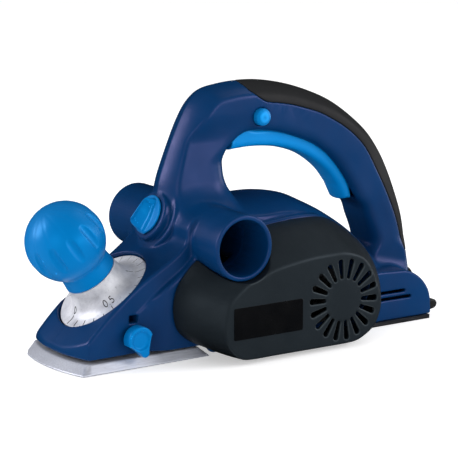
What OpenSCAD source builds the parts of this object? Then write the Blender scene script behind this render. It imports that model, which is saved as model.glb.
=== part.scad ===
// Electric hand planer, millimetres. X runs rearwards, Y to the far side, Z up.
// The sole plane is z = 0 and the machine's middle plane is y = 0.

/* [Soles] */
// Full width of both soles
sole_w = 83; // [82:0.5:83]
// Rear end of the rear sole
sole_x1 = 146; // [144:0.5:147]
// Rear edge of the front shoe at the sole plane
throat_x = -43.6; // [-45:0.2:-43]
// Height of the front shoe's side
shoe_h = 8.6; // [8:0.1:8.6]

/* [Cutter drum] */
// Drum axis along X
drum_x = -30; // [-30.2:0.1:-29.8]
// Cutting circle radius, also the axis height
cut_r = 26; // [25.9:0.05:26]
// Radius of the drum body
drum_r = 23.6; // [23:0.1:23.8]
// Length of the drum body
drum_l = 82; // [80:0.5:82]
// Drum pulley radius
drum_pr = 16.5; // [16:0.25:17]

/* [Motor] */
// Motor axis along X
motor_x = 43.4; // [43:0.1:43.8]
// Motor axis height
motor_z = 34.6; // [34.4:0.1:34.8]
// Stator stack radius
stator_r = 27.5; // [27:0.1:27.5]
// Motor pulley radius
motor_pr = 10; // [9.5:0.25:10.5]

/* [Chip tube] */
// Tube axis along X
tube_x = -34.3; // [-34.5:0.1:-34.1]
// Tube axis height
tube_z = 78.5; // [78.3:0.1:78.7]
// Tube outside radius
tube_ro = 22.3; // [22:0.1:22.5]
// Outlet bore radius
outlet_r = 19; // [18.8:0.1:19.2]
// Tube half length
tube_l = 70.5; // [69:0.5:71]

/* [Depth knob] */
// Dial rim radius
dial_r = 34; // [33:0.25:34.5]
// Ball radius
ball_r = 27; // [26:0.25:27.5]
// Ball centre above the dial rim
ball_h = 47.6; // [47:0.1:48]
// Depth screw radius
screw_r = 5; // [4.5:0.1:5]

/* [Belt cover] */
// Outer face of the cover
cover_y = -76; // [-77:0.5:-75.5]
// Wall of the cover
cover_t = 2.5; // [2:0.1:2.5]
// Number of vent slots
vents = 18; // [12:1:18]

/* [Clearances] */
// Radial running clearance of shafts and pins
run = 0.06; // [0.03:0.01:0.08]

/* [Hidden] */
$fn = 64;
sy = sole_w / 2;
mid_w = 44.5;
dz = cut_r;
vane_c = 18.5;
KX = -101; KZ = 44; KT = 36.8699;
navy = [0.06, 0.15, 0.33];
blue = [0.05, 0.45, 0.8];
dark = [0.15, 0.17, 0.19];
steel = [0.62, 0.63, 0.65];
alu = [0.78, 0.79, 0.8];
black = [0.07, 0.07, 0.07];
copper = [0.7, 0.36, 0.16];

// Side outlines, walked clockwise
body_prof = [[-138.5, -30], [-138.5, 15], [-134.5, 22.3], [-66, 73.65], [-60, 80], [-58, 90], [-52, 97], [-40, 101], [-20, 102], [4, 100.2], [17, 100.5], [28, 100], [42.6, 97], [53, 92.3], [69, 84], [86, 72.6], [100, 62], [112, 52.5], [126, 43], [138, 34], [146, 24], [150, 13], [151, -30]];
side_prof = [[-99, -30], [-99, 36.4], [-60, 65.7], [-50, 79], [-38, 85], [-15, 87], [1.2, 87.8], [17.3, 89.3], [31.4, 89.7], [45.6, 87.7], [53, 84.3], [70, 75], [86, 63.5], [98, 54], [112, 45], [126, 40], [139.7, 30], [145.5, 22.7], [147.6, 12.7], [147.7, -30]];
hand_prof = [[-57, 70], [-58.5, 88], [-59, 100], [-59, 113], [-52, 131.5], [-43.5, 151], [-34.5, 166.5], [-27, 174], [-21.5, 177], [-10.6, 179], [2, 180], [21, 179.4], [44, 175.2], [65, 168.5], [84, 160], [101, 148.5], [114.5, 136.5], [124.5, 123], [132, 109.5], [140, 91], [146.5, 72], [150.5, 49], [153.5, 32], [155.5, 18], [155.5, -30], [104, -30], [104, 50], [60, 80], [0, 90], [-20, 70]];
// Handle opening, walked the other way round
d_hole = [[-8, 136], [-8.8, 121], [-8, 114], [-4, 105], [2, 97], [30, 94], [55, 84], [80, 68], [104, 52], [110, 56], [109.5, 62], [105, 74], [102.4, 84], [98.4, 88.6], [91, 102], [83, 113], [73.6, 123], [62, 131], [48, 137], [33, 141.5], [16.6, 144.5], [5, 145], [-2, 143]];
trig_prof = [[-3.6, 138], [-1.6, 134.2], [2, 132.8], [11, 132.8], [26, 132], [38, 130], [53.5, 125], [66, 118], [77, 109], [85, 99], [90.5, 88], [97.2, 89.6], [95.5, 99], [91, 108.5], [83.5, 118.5], [74, 128.5], [61.5, 137], [47.5, 143], [33.5, 146.4], [22, 147.2], [14, 147.6], [9.5, 149.5], [6.5, 152.2], [2.5, 152.6], [-1.4, 150.4], [-3.4, 145]];
plan_half = [[-138.5, 0], [-138, 14], [-136, 26], [-133.5, 34.5], [-130, 38], [-86.5, 38], [-76.5, mid_w], [94, mid_w], [101, 40], [143.5, 40], [148, 38.5], [152, 32], [155, 20], [155.5, 10], [155.5, 0]];
plan = concat(plan_half, [for (i = [len(plan_half) - 2:-1:1]) [plan_half[i][0], -plan_half[i][1]]]);
clip = [[-170, 11], [-60, 11], [-47, 4], [-44, 3], [170, 3], [170, 210], [-170, 210]];
grip_zone = [[0, 190], [30, 190], [70, 182], [110, 160], [140, 128], [158, 90], [170, 46], [141.4, 46], [137.5, 57.6], [132.7, 71.8], [124.5, 90.2], [116.7, 104.3], [104.1, 125.3], [94.6, 135.2], [85.2, 142.4], [74.8, 148.6], [64, 154], [51.9, 158.1], [41.3, 161.2], [30.8, 163.3], [19.6, 165.1], [14.4, 167.6], [7.1, 173.1]];
shell_screws = [[-31, 134, 18], [112, 121, 18], [134, 58, 18], [136, 21, 40], [88, 50, mid_w], [-66, 50, mid_w]];
sole_bolts = [[4, 31], [100, 28]];
cover_bolts = [12, 54];
cap_ears = [for (a = [35, 90, 145]) [drum_x + 21.5 * cos(a), dz + 21.5 * sin(a)]];

// Shifts a closed outline to the right of its walking direction
function unit(v) = v / norm(v);
function side_n(a, b) = let (u = unit(b - a)) [u[1], -u[0]];
function off(p, d) = let (n = len(p)) [for (i = [0:n - 1]) let (a = side_n(p[(i + n - 1) % n], p[i]), b = side_n(p[i], p[(i + 1) % n])) p[i] + d * (a + b) / (1 + a * b)];
function rot_about(p, c, t) = [for (q = p) [c[0] + (q[0] - c[0]) * cos(t) - (q[1] - c[1]) * sin(t), c[1] + (q[0] - c[0]) * sin(t) + (q[1] - c[1]) * cos(t)]];

module yx(p, y0, y1) translate([0, y1, 0]) rotate([90, 0, 0]) linear_extrude(height = y1 - y0) polygon(p);
module yh(p, s, w) yx(p, s < 0 ? -w : 0, s < 0 ? 0 : w);
module yc(r, x, z, y0, y1) translate([x, y0, z]) rotate([-90, 0, 0]) cylinder(r = r, h = y1 - y0);
module bx(x0, x1, y0, y1, z0, z1) translate([x0, y0, z0]) cube([x1 - x0, y1 - y0, z1 - z0]);
module knob_at() translate([KX, 0, KZ]) rotate([0, -KT, 0]) children();
module vane_at() translate([tube_x, 0, tube_z]) rotate([0, -65, 0]) children();
module ring(ro, ri, x, z, y0, y1) difference() { yc(ro, x, z, y0, y1); yc(ri, x, z, y0 - 1, y1 + 1); }
// Solid outline of a belt or plate round two circles
module two_wheel(x0, z0, r0, x1, z1, r1, y0, y1) {
  L = norm([x1 - x0, z1 - z0]);
  a = atan2(z1 - z0, x1 - x0);
  b = acos((r0 - r1) / L);
  q0 = r0 - 0.15;
  q1 = r1 - 0.15;
  yc(r0, x0, z0, y0, y1);
  yc(r1, x1, z1, y0, y1);
  yx([[x0 + q0 * cos(a - b), z0 + q0 * sin(a - b)], [x0 + q0 * cos(a + b), z0 + q0 * sin(a + b)], [x1 + q1 * cos(a + b), z1 + q1 * sin(a + b)], [x1 + q1 * cos(a - b), z1 + q1 * sin(a - b)]], y0, y1);
}
// Helical wire along Z
module coil(r, w, h, turns) {
  m = 18; k = 8; n = m * turns;
  function pt(i, j) = let (t = 360 * i / m, f = 360 * j / k) [(r + w * cos(f)) * cos(t), (r + w * cos(f)) * sin(t), w + (h - 2 * w) * i / n + w * sin(f)];
  pts = [for (i = [0:n]) for (j = [0:k - 1]) pt(i, j)];
  sides = [for (i = [0:n - 1]) for (j = [0:k - 1]) for (t = [0, 1]) let (a = i * k + j, b = i * k + (j + 1) % k) t == 0 ? [a, a + k, b] : [b, a + k, b + k]];
  polyhedron(pts, concat([[for (j = [0:k - 1]) j]], [[for (j = [k - 1:-1:0]) n * k + j]], sides), convexity = 6);
}

// ---- housing ----
module body_outer(s) intersection() {
  union() { yh(body_prof, s, 28); yh(off(body_prof, 3), s, 38); yh(side_prof, s, mid_w); }
  translate([0, 0, -40]) linear_extrude(height = 300) polygon(plan);
  yx(clip, -60, 60);
}
module hand_outer(s) intersection() {
  union() {
    difference() { yh(hand_prof, s, 13); yx(d_hole, -20, 20); }
    difference() { yh(off(hand_prof, 5), s, 18); yx(off(d_hole, 4), -20, 20); }
  }
  yx(clip, -60, 60);
}
module body_cavity() intersection() {
  union() { yx(off(body_prof, 3), -25, 25); yx(off(body_prof, 6), -35, 35); yx(off(side_prof, 3), -41.8, 41.8); }
  translate([0, 0, -60]) linear_extrude(height = 340) polygon(off(plan, 2.7));
}
module hand_cavity() {
  difference() { yx(off(hand_prof, 5), -9, 9); yx(off(d_hole, 3), -20, 20); }
  difference() { yx(off(hand_prof, 10), -13, 13); yx(off(d_hole, 8), -20, 20); }
}
module kept(s) {
  yc(tube_ro, tube_x, tube_z, -50, 50);
  vane_at() translate([0, 0, 12]) cylinder(r1 = 24, r2 = 17, h = 21.8);
  knob_at() translate([0, 0, -6.6]) cylinder(r = 39, h = 30);
  for (p = shell_screws) yc(6, p[0], p[1], s < 0 ? -46 : -1, s < 0 ? 1 : 46);
  for (p = sole_bolts) {
    translate([p[0], s * p[1], 6.3]) cylinder(r = 4.5, h = 20);
    bx(p[0] - 1.5, p[0] + 1.5, s < 0 ? -43 : p[1], s < 0 ? -p[1] : 43, 6.3, 26.3);
  }
  difference() {
    bx(12, 76, s < 0 ? -13 : 17, s < 0 ? -10 : 20, 7, 96);
    yc(stator_r + 0.05, motor_x, motor_z, -30, 30);
  }
  if (s < 0) {
    yc(6, -100.3, 20.5, -40, -18);
    bx(-106.4, -93.4, -40, -25.7, 27.3, 38.7);
  }
}
module shell(s) difference() {
  union() {
    body_outer(s);
    hand_outer(s);
    yc(tube_ro, tube_x, tube_z, s < 0 ? -tube_l : 0, s < 0 ? 0 : tube_l);
    intersection() {
      vane_at() translate([0, 0, 12]) cylinder(r1 = 24, r2 = 17, h = 21.8);
      bx(-200, 200, s < 0 ? -60 : 0, s < 0 ? 0 : 60, 0, 200);
    }
  }
  difference() { union() { body_cavity(); hand_cavity(); } kept(s); }
  yc(vane_c, tube_x, tube_z, -45, 45);
  yc(outlet_r, tube_x, tube_z, s < 0 ? -80 : 40, s < 0 ? -40 : 80);
  bx(tube_x - 15, tube_x + 15, -33, 33, tube_z - 30, tube_z - 5);
  vane_at() cylinder(r = 4 + run, h = 60);
  knob_at() translate([0, 0, -2.6]) cylinder(r = dial_r + 1.6, h = 60);
  knob_at() translate([0, 0, -20]) cylinder(r = screw_r + run, h = 40);
  difference() {
    yx(grip_zone, -30, 30);
    yx(off(hand_prof, 2), -11, 11);
    yx(off(hand_prof, 7), -16, 16);
  }
  for (t = [0, 2, 4]) yx(rot_about(off(trig_prof, 0.6), [3.2, 148.6], t), -11.4, 11.4);
  yx([[92, 88.3], [97.9, 88.9], [102.1, 96.1], [100.4, 104.6], [92, 100]], -11.4, 11.4);
  yc(2.02, 3.2, 148.6, -12.9, 12.9);
  for (p = shell_screws) {
    yc(1.95, p[0], p[1], -10.5, 60);
    if (s > 0) yc(4, p[0], p[1], p[2] - 4, 60);
  }
  for (p = sole_bolts) translate([p[0], s * p[1], 0]) cylinder(r = 2.05, h = 23);
  translate([140, 0, 22]) rotate([0, 90, 0]) cylinder(r = 7.05, h = 30);
  bx(140, 150.1, -9.8, 9.8, 12, 32);
  yc(9, drum_x, dz, -50, 50);
  if (s < 0) {
    yc(9, motor_x, motor_z, -50, -30);
    yc(6.1, 14.3, 155.3, -30, -2);
    bx(103, 124.6, -45, -35, 22.4, 24.1);
    bx(103, 130, -45, -35, 17.6, 19.3);
    yc(3 + run, -100.3, 20.5, -50, -19);
    bx(-103.7, -96.1, -45, -28.3, 30, 36);
    bx(118, 160, -37.3, -29.3, -1, 14.6);
    yc(2.02, 128, 9, -39.4, -30);
  } else {
    for (i = [0:6]) bx(20 + 7 * i, 23.4 + 7 * i, 35, 50, 65, 78);
    for (p = cap_ears) yc(1.7, p[0], p[1], 36, 60);
  }
}
module left_shell() color(navy) shell(-1);
module right_shell() color(navy) shell(1);
module handle_grip() color(black) difference() {
  intersection() {
    yx(grip_zone, -30, 30);
    union() { yx(hand_prof, -13, 13); yx(off(hand_prof, 5), -18, 18); }
  }
  yx(off(hand_prof, 2), -11, 11);
  yx(off(hand_prof, 7), -16, 16);
  for (p = shell_screws) yc(4.2, p[0], p[1], 10, 60);
}

// ---- belt side ----
module cover_form(t) hull() {
  yc(35.5 - t, -39, 36, -46, -44.6);
  yc(47 - t, motor_x, 38, -46, -44.6);
  yc(22.5 - t, -30.2, 25.4, cover_y + t, cover_y + t + 1);
  yc(32.2 - t, motor_x, 34.8, cover_y + t, cover_y + t + 1);
}
module belt_cover() color(dark) difference() {
  cover_form(0);
  bx(-200, 200, -100, 0, -50, 3.2);
  yc(tube_ro + 0.5, tube_x, tube_z, -100, 0);
  difference() {
    union() { cover_form(cover_t); yc(30, 0, 35, -45, -40); }
    bx(-200, 200, -100, 0, -50, 3.2 + cover_t);
    yc(tube_ro + 0.5 + cover_t, tube_x, tube_z, -100, 0);
  }
  for (i = [0:vents - 1]) translate([motor_x, 0, motor_z]) rotate([0, i * 360 / vents + 4, 0]) yx([[14.6, -1.4], [14.6, 1.4], [28.4, 2.2], [28.4, -2.2]], cover_y - 1, cover_y + 5);
  for (x = cover_bolts) translate([x, -49.5, 0]) { cylinder(r = 1.7, h = 11); cylinder(r = 3.3, h = 4.6); }
}
module label_plate() color(black) bx(-46, 9, cover_y - 0.4, cover_y - 0.02, 18.6, 40.3);
module cover_screws() color(steel) for (x = cover_bolts) translate([x, -49.5, 0]) difference() {
  union() { translate([0, 0, 4.4]) cylinder(r = 1.6, h = 8.6); translate([0, 0, 3.3]) cylinder(r = 3.1, h = 1.2); }
  translate([0, 0, 3]) cylinder(r = 1.4, h = 1, $fn = 6);
}
module housing_screws() color(steel) for (p = shell_screws) difference() {
  union() { yc(1.9, p[0], p[1], -10, p[2] - 3.7); yc(3.6, p[0], p[1], p[2] - 3.8, p[2] - 1.6); }
  translate([p[0], p[2] - 2.8, p[1]]) rotate([-90, 0, 0]) cylinder(r = 1.7, h = 3, $fn = 6);
}
module bearing_plate() color(alu) difference() {
  union() {
    two_wheel(drum_x, dz, 18.5, motor_x, motor_z, 17.5, -54, -44.55);
    for (x = cover_bolts) bx(x - 4, x + 4, -54, -45, 6, 24);
  }
  for (x = cover_bolts) translate([x, -49.5, 0]) cylinder(r = 1.65, h = 14);
  yc(13.03, drum_x, dz, -55, -45.4);
  yc(8, drum_x, dz, -55, -44);
  yc(11.03, motor_x, motor_z, -55, -45.9);
  yc(7, motor_x, motor_z, -55, -44);
}
module bearing_cap() color(alu) difference() {
  union() { yc(17.5, drum_x, dz, 44.55, 55.5); for (p = cap_ears) yc(5, p[0], p[1], 44.55, 49); }
  yc(13.03, drum_x, dz, 44, 53.6);
  for (p = cap_ears) yc(1.7, p[0], p[1], 40, 60);
}
module cap_screws() color(steel) for (p = cap_ears) difference() {
  union() { yc(1.6, p[0], p[1], 42, 49.1); yc(3, p[0], p[1], 49.05, 51); }
  translate([p[0], 50, p[1]]) rotate([-90, 0, 0]) cylinder(r = 1.5, h = 3, $fn = 6);
}
module drum_bearings() color(steel) {
  ring(13, screw_r + run, drum_x, dz, -53.4, -45.45);
  ring(13, screw_r + run, drum_x, dz, 45.45, 53.4);
}
module motor_bearings() color(steel) {
  ring(11, 4 + run, motor_x, motor_z, -53, -45.95);
  ring(11, 4 + run, motor_x, motor_z, 35, 41.5);
}
module drive_belt() color(black) difference() {
  two_wheel(drum_x, dz, drum_pr + 2.4, motor_x, motor_z, motor_pr + 2.4, -68.4, -57.6);
  two_wheel(drum_x, dz, drum_pr + 0.3, motor_x, motor_z, motor_pr + 0.3, -70, -56);
}

// ---- soles ----
module rear_sole() color(alu) difference() {
  union() {
    bx(drum_x + 8, sole_x1, -sy, sy, 0, 2.9);
    bx(-12, 143, -36.5, 36.5, 2.5, 6);
    bx(122, 134, -29.0, -24.5, 5, 14);
  }
  yc(cut_r + 0.8, drum_x, dz, -50, 50);
  for (p = sole_bolts) for (s = [-1, 1]) translate([p[0], s * p[1], -1]) { cylinder(r = 2.3, h = 10); cylinder(r = 4.3, h = 4.4); }
  bx(118.5, 150, -37.3, -29.3, -1, 10);
  yc(2.02, 128, 9, -32, -20);
}
module sole_screws() color(steel) for (p = sole_bolts) for (s = [-1, 1]) translate([p[0], s * p[1], 0]) difference() {
  union() { translate([0, 0, 3]) cylinder(r = 2, h = 18); translate([0, 0, 0.4]) cylinder(r = 4, h = 2.8); }
  cylinder(r = 2, h = 2, $fn = 6);
}
module front_shoe() color(alu) difference() {
  union() {
    hull() {
      linear_extrude(height = 1.2) polygon(concat([[throat_x, -sy], [-135, -sy], [-138.6, -40], [-140.6, -36.5]], [for (a = [-15:5:15]) [-146.5 + 118 * (1 - cos(a)), 118 * sin(a)]], [[-140.6, 36.5], [-138.6, 40], [-135, sy], [throat_x, sy]]));
      translate([0, 0, shoe_h - 0.4]) linear_extrude(height = 0.4) polygon([[throat_x - 11.4, -38.3], [-131, -38.3], [-134, -36], [-138, -20], [-139.5, 0], [-138, 20], [-134, 36], [-131, 38.3], [throat_x - 11.4, 38.3]]);
    }
    knob_at() translate([0, 0, -46]) cylinder(r = 9, h = 26);
    knob_at() for (y = [-18.5, 18.5]) translate([0, y, -46]) cylinder(r = 4, h = 33);
  }
  knob_at() translate([0, 0, -40.5]) cylinder(r = screw_r + run, h = 60);
  translate([-137, 0, 0]) rotate([90, 0, 90]) linear_extrude(height = 107) polygon([[-3, -0.1], [3, -0.1], [0, 3]]);
}
module guide_bushes() color(steel) knob_at() for (y = [-18.5, 18.5]) translate([0, y, -27]) difference() { cylinder(r = 6.5, h = 20.3); translate([0, 0, -1]) cylinder(r = 4 + run, h = 30); }

// ---- depth setting ----
module depth_screw() color(steel) knob_at() translate([0, 0, -36]) cylinder(r = screw_r, h = 75);
module depth_clip() color(steel) knob_at() translate([0, 0, -8.4]) difference() { cylinder(r = 8.5, h = 1.4); translate([0, 0, -1]) cylinder(r = screw_r + 0.02, h = 4); }
module depth_dial() color(alu) knob_at() rotate_extrude() polygon([[screw_r + 0.02, -1.2], [dial_r, -1.2], [dial_r, 0.4], [33.4, 0.9], [29.5, 1.2], [27, 1.7], [24.4, 3], [21.7, 5.6], [20, 9], [19, 13], [18.6, 16.7], [screw_r + 0.02, 16.7]]);
module depth_knob() color(blue) knob_at() difference() {
  union() { translate([0, 0, 16.8]) cylinder(r1 = 18.6, r2 = 17.4, h = 12); translate([0, 0, ball_h]) sphere(r = ball_r); }
  translate([0, 0, 10]) cylinder(r = screw_r + 0.02, h = 29.2);
  for (i = [0:11]) rotate([0, 0, 30 * i + 18]) translate([32.4, 0, ball_h + 2.4]) sphere(r = 6.6);
}
module depth_spring() color(steel) knob_at() translate([0, 0, -19.6]) coil(7, 0.7, 10.8, 4);

// ---- cutter drum ----
module knife_slot(a) translate([drum_x, 0, dz]) rotate([0, a, 0]) children();
module drum_body() color(alu) difference() {
  yc(drum_r, drum_x, dz, -drum_l / 2, drum_l / 2);
  yc(6.02, drum_x, dz, -60, 60);
  for (a = [30, 210]) knife_slot(a) {
    bx(11, 30, -50, 50, -1.2, 8.2);
    bx(14.8, 30, -50, 50, 8, 20);
  }
}
module knives() color(steel) for (a = [30, 210]) knife_slot(a) bx(13.2, cut_r - 0.15, -drum_l / 2, drum_l / 2, -0.9, 0.2);
module knife_bars() color(dark) for (a = [30, 210]) knife_slot(a) difference() {
  bx(11.3, 22, -drum_l / 2 + 0.5, drum_l / 2 - 0.5, 0.4, 7.9);
  for (y = [-28, 0, 28]) translate([17.5, y, -1]) cylinder(r = 2.3, h = 12);
}
module bar_screws() color(steel) for (a = [30, 210]) knife_slot(a) for (y = [-28, 0, 28]) translate([17.5, y, 0.6]) difference() { cylinder(r = 2.2, h = 8.6); translate([0, 0, 6]) cylinder(r = 1.2, h = 4, $fn = 6); }
module drum_shaft() color(steel) difference() {
  union() { yc(6, drum_x, dz, -43.5, 43.5); yc(screw_r, drum_x, dz, -72.4, 53.2); }
}
module drum_pulley() color(dark) difference() {
  union() { yc(drum_pr, drum_x, dz, -69, -57); yc(drum_pr + 3, drum_x, dz, -57.1, -56); yc(9, drum_x, dz, -57, -54.6); }
  yc(screw_r + 0.02, drum_x, dz, -80, -50);
}
module drum_nut() color(steel) difference() {
  translate([drum_x, -72.2, dz]) rotate([-90, 0, 0]) cylinder(r = 8.5, h = 3, $fn = 6);
  yc(screw_r + 0.02, drum_x, dz, -80, -60);
}

// ---- motor ----
module stator_core() color(steel) difference() {
  yc(stator_r, motor_x, motor_z, -16, 24);
  yc(17.5, motor_x, motor_z, -20, 30);
  for (s = [-1, 1]) bx(motor_x - 9, motor_x + 9, -20, 30, s < 0 ? motor_z - 23 : motor_z + 10, s < 0 ? motor_z - 10 : motor_z + 23);
}
module field_windings() color(copper) for (s = [-1, 1]) bx(motor_x - 8.6, motor_x + 8.6, -22, 29, s < 0 ? motor_z - 22.6 : motor_z + 18.2, s < 0 ? motor_z - 18.2 : motor_z + 22.6);
module end_bracket() color(dark) difference() {
  yc(27, motor_x, motor_z, 34.6, 41.7);
  yc(11.03, motor_x, motor_z, 34, 41.6);
  for (a = [45:90:315]) yc(5, motor_x + 19 * cos(a), motor_z + 19 * sin(a), 30, 50);
}
module brush_holders() color([0.75, 0.6, 0.25]) for (s = [-1, 1]) difference() {
  bx(s < 0 ? motor_x - 26 : motor_x + 12, s < 0 ? motor_x - 12 : motor_x + 26, 25.6, 34.5, motor_z - 5, motor_z + 5);
  bx(motor_x - 40, motor_x + 40, 26.8, 32.2, motor_z - 3.6, motor_z + 3.6);
}
module carbon_brushes() color(black) for (s = [-1, 1]) bx(s < 0 ? motor_x - 22 : motor_x + 10.3, s < 0 ? motor_x - 10.3 : motor_x + 22, 27, 32, motor_z - 3.4, motor_z + 3.4);
module motor_shaft() color(steel) yc(4, motor_x, motor_z, -71, 41.2);
module armature_core() color(steel) difference() {
  yc(16.8, motor_x, motor_z, -15, 23);
  yc(4.02, motor_x, motor_z, -30, 40);
  for (a = [0:30:330]) translate([motor_x, 0, motor_z]) rotate([0, a, 0]) bx(13.4, 20, -30, 40, -1.2, 1.2);
}
module armature_coils() color(copper) {
  ring(14, 4.02, motor_x, motor_z, -20, -15.02);
  ring(13, 4.02, motor_x, motor_z, 23.02, 25.2);
}
module commutator() color(copper) difference() {
  yc(10, motor_x, motor_z, 25.3, 33.6);
  yc(4.02, motor_x, motor_z, 20, 40);
  for (a = [0:15:345]) translate([motor_x, 0, motor_z]) rotate([0, a, 0]) bx(9.2, 11, 20, 40, -0.2, 0.2);
}
module cooling_fan() color(dark) difference() {
  union() {
    yc(25, motor_x, motor_z, -38, -36.4);
    yc(7, motor_x, motor_z, -38, -26);
    for (a = [0:30:330]) translate([motor_x, 0, motor_z]) rotate([0, a, 0]) bx(6, 24.6, -36.6, -26, -0.7, 0.7);
  }
  yc(4.02, motor_x, motor_z, -60, 0);
}
module motor_pulley() color(steel) difference() {
  union() { yc(motor_pr, motor_x, motor_z, -69, -57); yc(motor_pr + 3, motor_x, motor_z, -57.1, -56); yc(7, motor_x, motor_z, -57, -54.6); }
  yc(4.02, motor_x, motor_z, -80, -40);
}

// ---- chips ----
module chip_chute() color(dark) difference() {
  bx(-54, 1, -34.6, 34.6, 31, 57);
  yc(cut_r + 1.5, drum_x, dz, -50, 50);
  bx(-50, -19.5, -33, 33, 20, 80);
  yc(tube_ro + 0.4, tube_x, tube_z, -50, 50);
}
module selector_vane() color(blue) {
  difference() {
    union() { yc(17.6, tube_x, tube_z, -1, 1); vane_at() translate([0, 0, 10]) cylinder(r = 4, h = 27.4); }
  }
}
module selector_lever() color(blue) vane_at() difference() {
  union() {
    translate([0, 0, 34.2]) cylinder(r = 13.4, h = 1.6);
    rotate([0, 0, -23.8]) intersection() {
      rotate([90, 0, 90]) linear_extrude(height = 24, center = true) polygon([[3.9, 35.6], [3.9, 36.2], [1.5, 44.4], [0.9, 44.4], [-9.3, 36.2], [-9.3, 35.6]]);
      translate([0, 0, 35]) linear_extrude(height = 12) polygon([[-12, 4.2], [-11.4, -8.6], [0.8, -8], [11.4, -2.2], [12, 0], [12, 4.2]]);
    }
  }
  cylinder(r = 4.02, h = 37.6);
}

// ---- switch ----
module trigger() color(blue) difference() {
  yx(trig_prof, -11, 11);
  yc(2 + run, 3.2, 148.6, -20, 20);
}
module trigger_pin() color(steel) yc(2, 3.2, 148.6, -12.8, 12.8);
module switch_body() color(black) difference() {
  bx(26, 54, -8.4, 8.4, 151.4, 165);
  translate([34, 0, 140]) cylinder(r = 2.8, h = 20);
}
module switch_plunger() color(blue) translate([34, 0, 147]) cylinder(r = 2.5, h = 9);
module suppressor() color([0.7, 0.65, 0.5]) yc(6.5, -18, 158, -8, 8);
module lock_button() color(blue) difference() {
  yc(6, 14.3, 155.3, -22.4, -7.5);
  yc(3.4, 14.3, 155.3, -14, -5);
}
module cable_gland() color(black) difference() {
  union() {
    translate([143, 0, 22]) rotate([0, 90, 0]) cylinder(r = 7, h = 15.4);
    translate([146, 0, 22]) rotate([0, 90, 0]) cylinder(r = 9.5, h = 3.8);
  }
  translate([130, 0, 22]) rotate([0, 90, 0]) cylinder(r = 3.7, h = 40);
}

// ---- side clamp and parking foot ----
module guide_knob() color(blue) difference() {
  union() {
    yc(9.3, -100.3, 20.5, -49, -40);
    yx([[-107.6, 14.7], [-96, 9], [-91.6, 17.4]], -49, -40);
  }
  yc(3.02, -100.3, 20.5, -50, -30);
  yc(5.6, -100.3, 20.5, -50, -46.6);
}
module guide_stud() color(steel) yc(3, -100.3, 20.5, -46.4, -20);
module foot_pin() color(steel) yc(2, 128, 9, -39.2, -25);
module parking_foot() color(black) difference() {
  union() {
    yx([[128, 13], [150, 12.4], [155.6, 11.2], [157.2, 9], [156.6, 6.4], [154, 4.8], [128, 5]], -36.4, -30.2);
    yc(4, 128, 9, -36.4, -30.2);
  }
  yc(2 + run, 128, 9, -50, -20);
}

left_shell();
right_shell();
handle_grip();
belt_cover();
label_plate();
cover_screws();
housing_screws();
rear_sole();
sole_screws();
bearing_plate();
bearing_cap();
cap_screws();
drum_bearings();
motor_bearings();
end_bracket();
stator_core();
field_windings();
brush_holders();
carbon_brushes();
drive_belt();
chip_chute();
switch_body();
suppressor();
trigger_pin();
cable_gland();
guide_bushes();
foot_pin();
front_shoe();
depth_spring();
depth_knob();
depth_dial();
depth_screw();
depth_clip();
drum_body();
drum_shaft();
knives();
knife_bars();
bar_screws();
drum_pulley();
drum_nut();
motor_shaft();
armature_core();
armature_coils();
commutator();
cooling_fan();
motor_pulley();
trigger();
switch_plunger();
lock_button();
selector_lever();
selector_vane();
guide_knob();
guide_stud();
parking_foot();
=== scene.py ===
import bpy
import bmesh
import math
import numpy as np
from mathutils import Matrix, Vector
from mathutils.geometry import delaunay_2d_cdt


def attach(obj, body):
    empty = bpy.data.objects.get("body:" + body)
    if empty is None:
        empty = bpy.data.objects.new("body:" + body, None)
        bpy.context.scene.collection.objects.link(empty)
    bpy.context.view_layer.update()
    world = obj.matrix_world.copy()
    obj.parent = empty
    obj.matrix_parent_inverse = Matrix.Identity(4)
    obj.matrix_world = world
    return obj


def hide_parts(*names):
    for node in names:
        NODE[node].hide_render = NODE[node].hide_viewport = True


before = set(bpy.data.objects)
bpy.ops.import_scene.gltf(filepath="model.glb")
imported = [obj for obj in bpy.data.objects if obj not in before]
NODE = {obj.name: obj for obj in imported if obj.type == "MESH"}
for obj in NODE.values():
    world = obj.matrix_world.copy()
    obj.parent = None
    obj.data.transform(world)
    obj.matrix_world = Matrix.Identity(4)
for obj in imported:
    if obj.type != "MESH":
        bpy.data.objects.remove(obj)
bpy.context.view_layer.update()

# ---------------------------------------------------------------- outlines, millimetres, (x, z)
BODY = [[-152, -30], [-152, 2.5], [-141.3, 13.4], [-136, 19.6], [-128, 27.9], [-118, 37], [-105, 47.2], [-92, 56.4], [-66, 73.65], [-60, 80], [-58, 90], [-52, 97], [-40, 101], [-20, 102], [4, 100.2], [17, 100.5], [28, 100], [42.6, 97], [53, 92.3], [69, 84], [86, 72.6], [93, 66.4], [100, 59.8], [112, 51.4], [126, 44.6], [138, 37.4], [147, 27], [151.4, 13], [152, -30]]
SIDE = [[-99, -30], [-99, 36.4], [-79, 51.4], [-60, 65.7], [-50, 79], [-38, 85], [-15, 87], [1.2, 87.8], [17.3, 89.3], [31.4, 89.7], [45.6, 87.7], [53, 84.3], [62, 79.2], [70, 73.3], [80, 63.8], [88, 51.8], [91.8, 38], [90.4, 26], [84, 12], [80, 2], [80, -30]]
BULGE = SIDE[:12] + [[66, 78.8], [76, 72.4], [84, 64.4], [90, 52.6], [93, 38], [93.8, 26], [94, -30]]
LOW = [[82, -30], [82, 39.6], [101, 39], [114, 38.3], [127, 37.2], [137, 32], [144.6, 24], [148.8, 14], [149.6, -30]]
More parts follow.
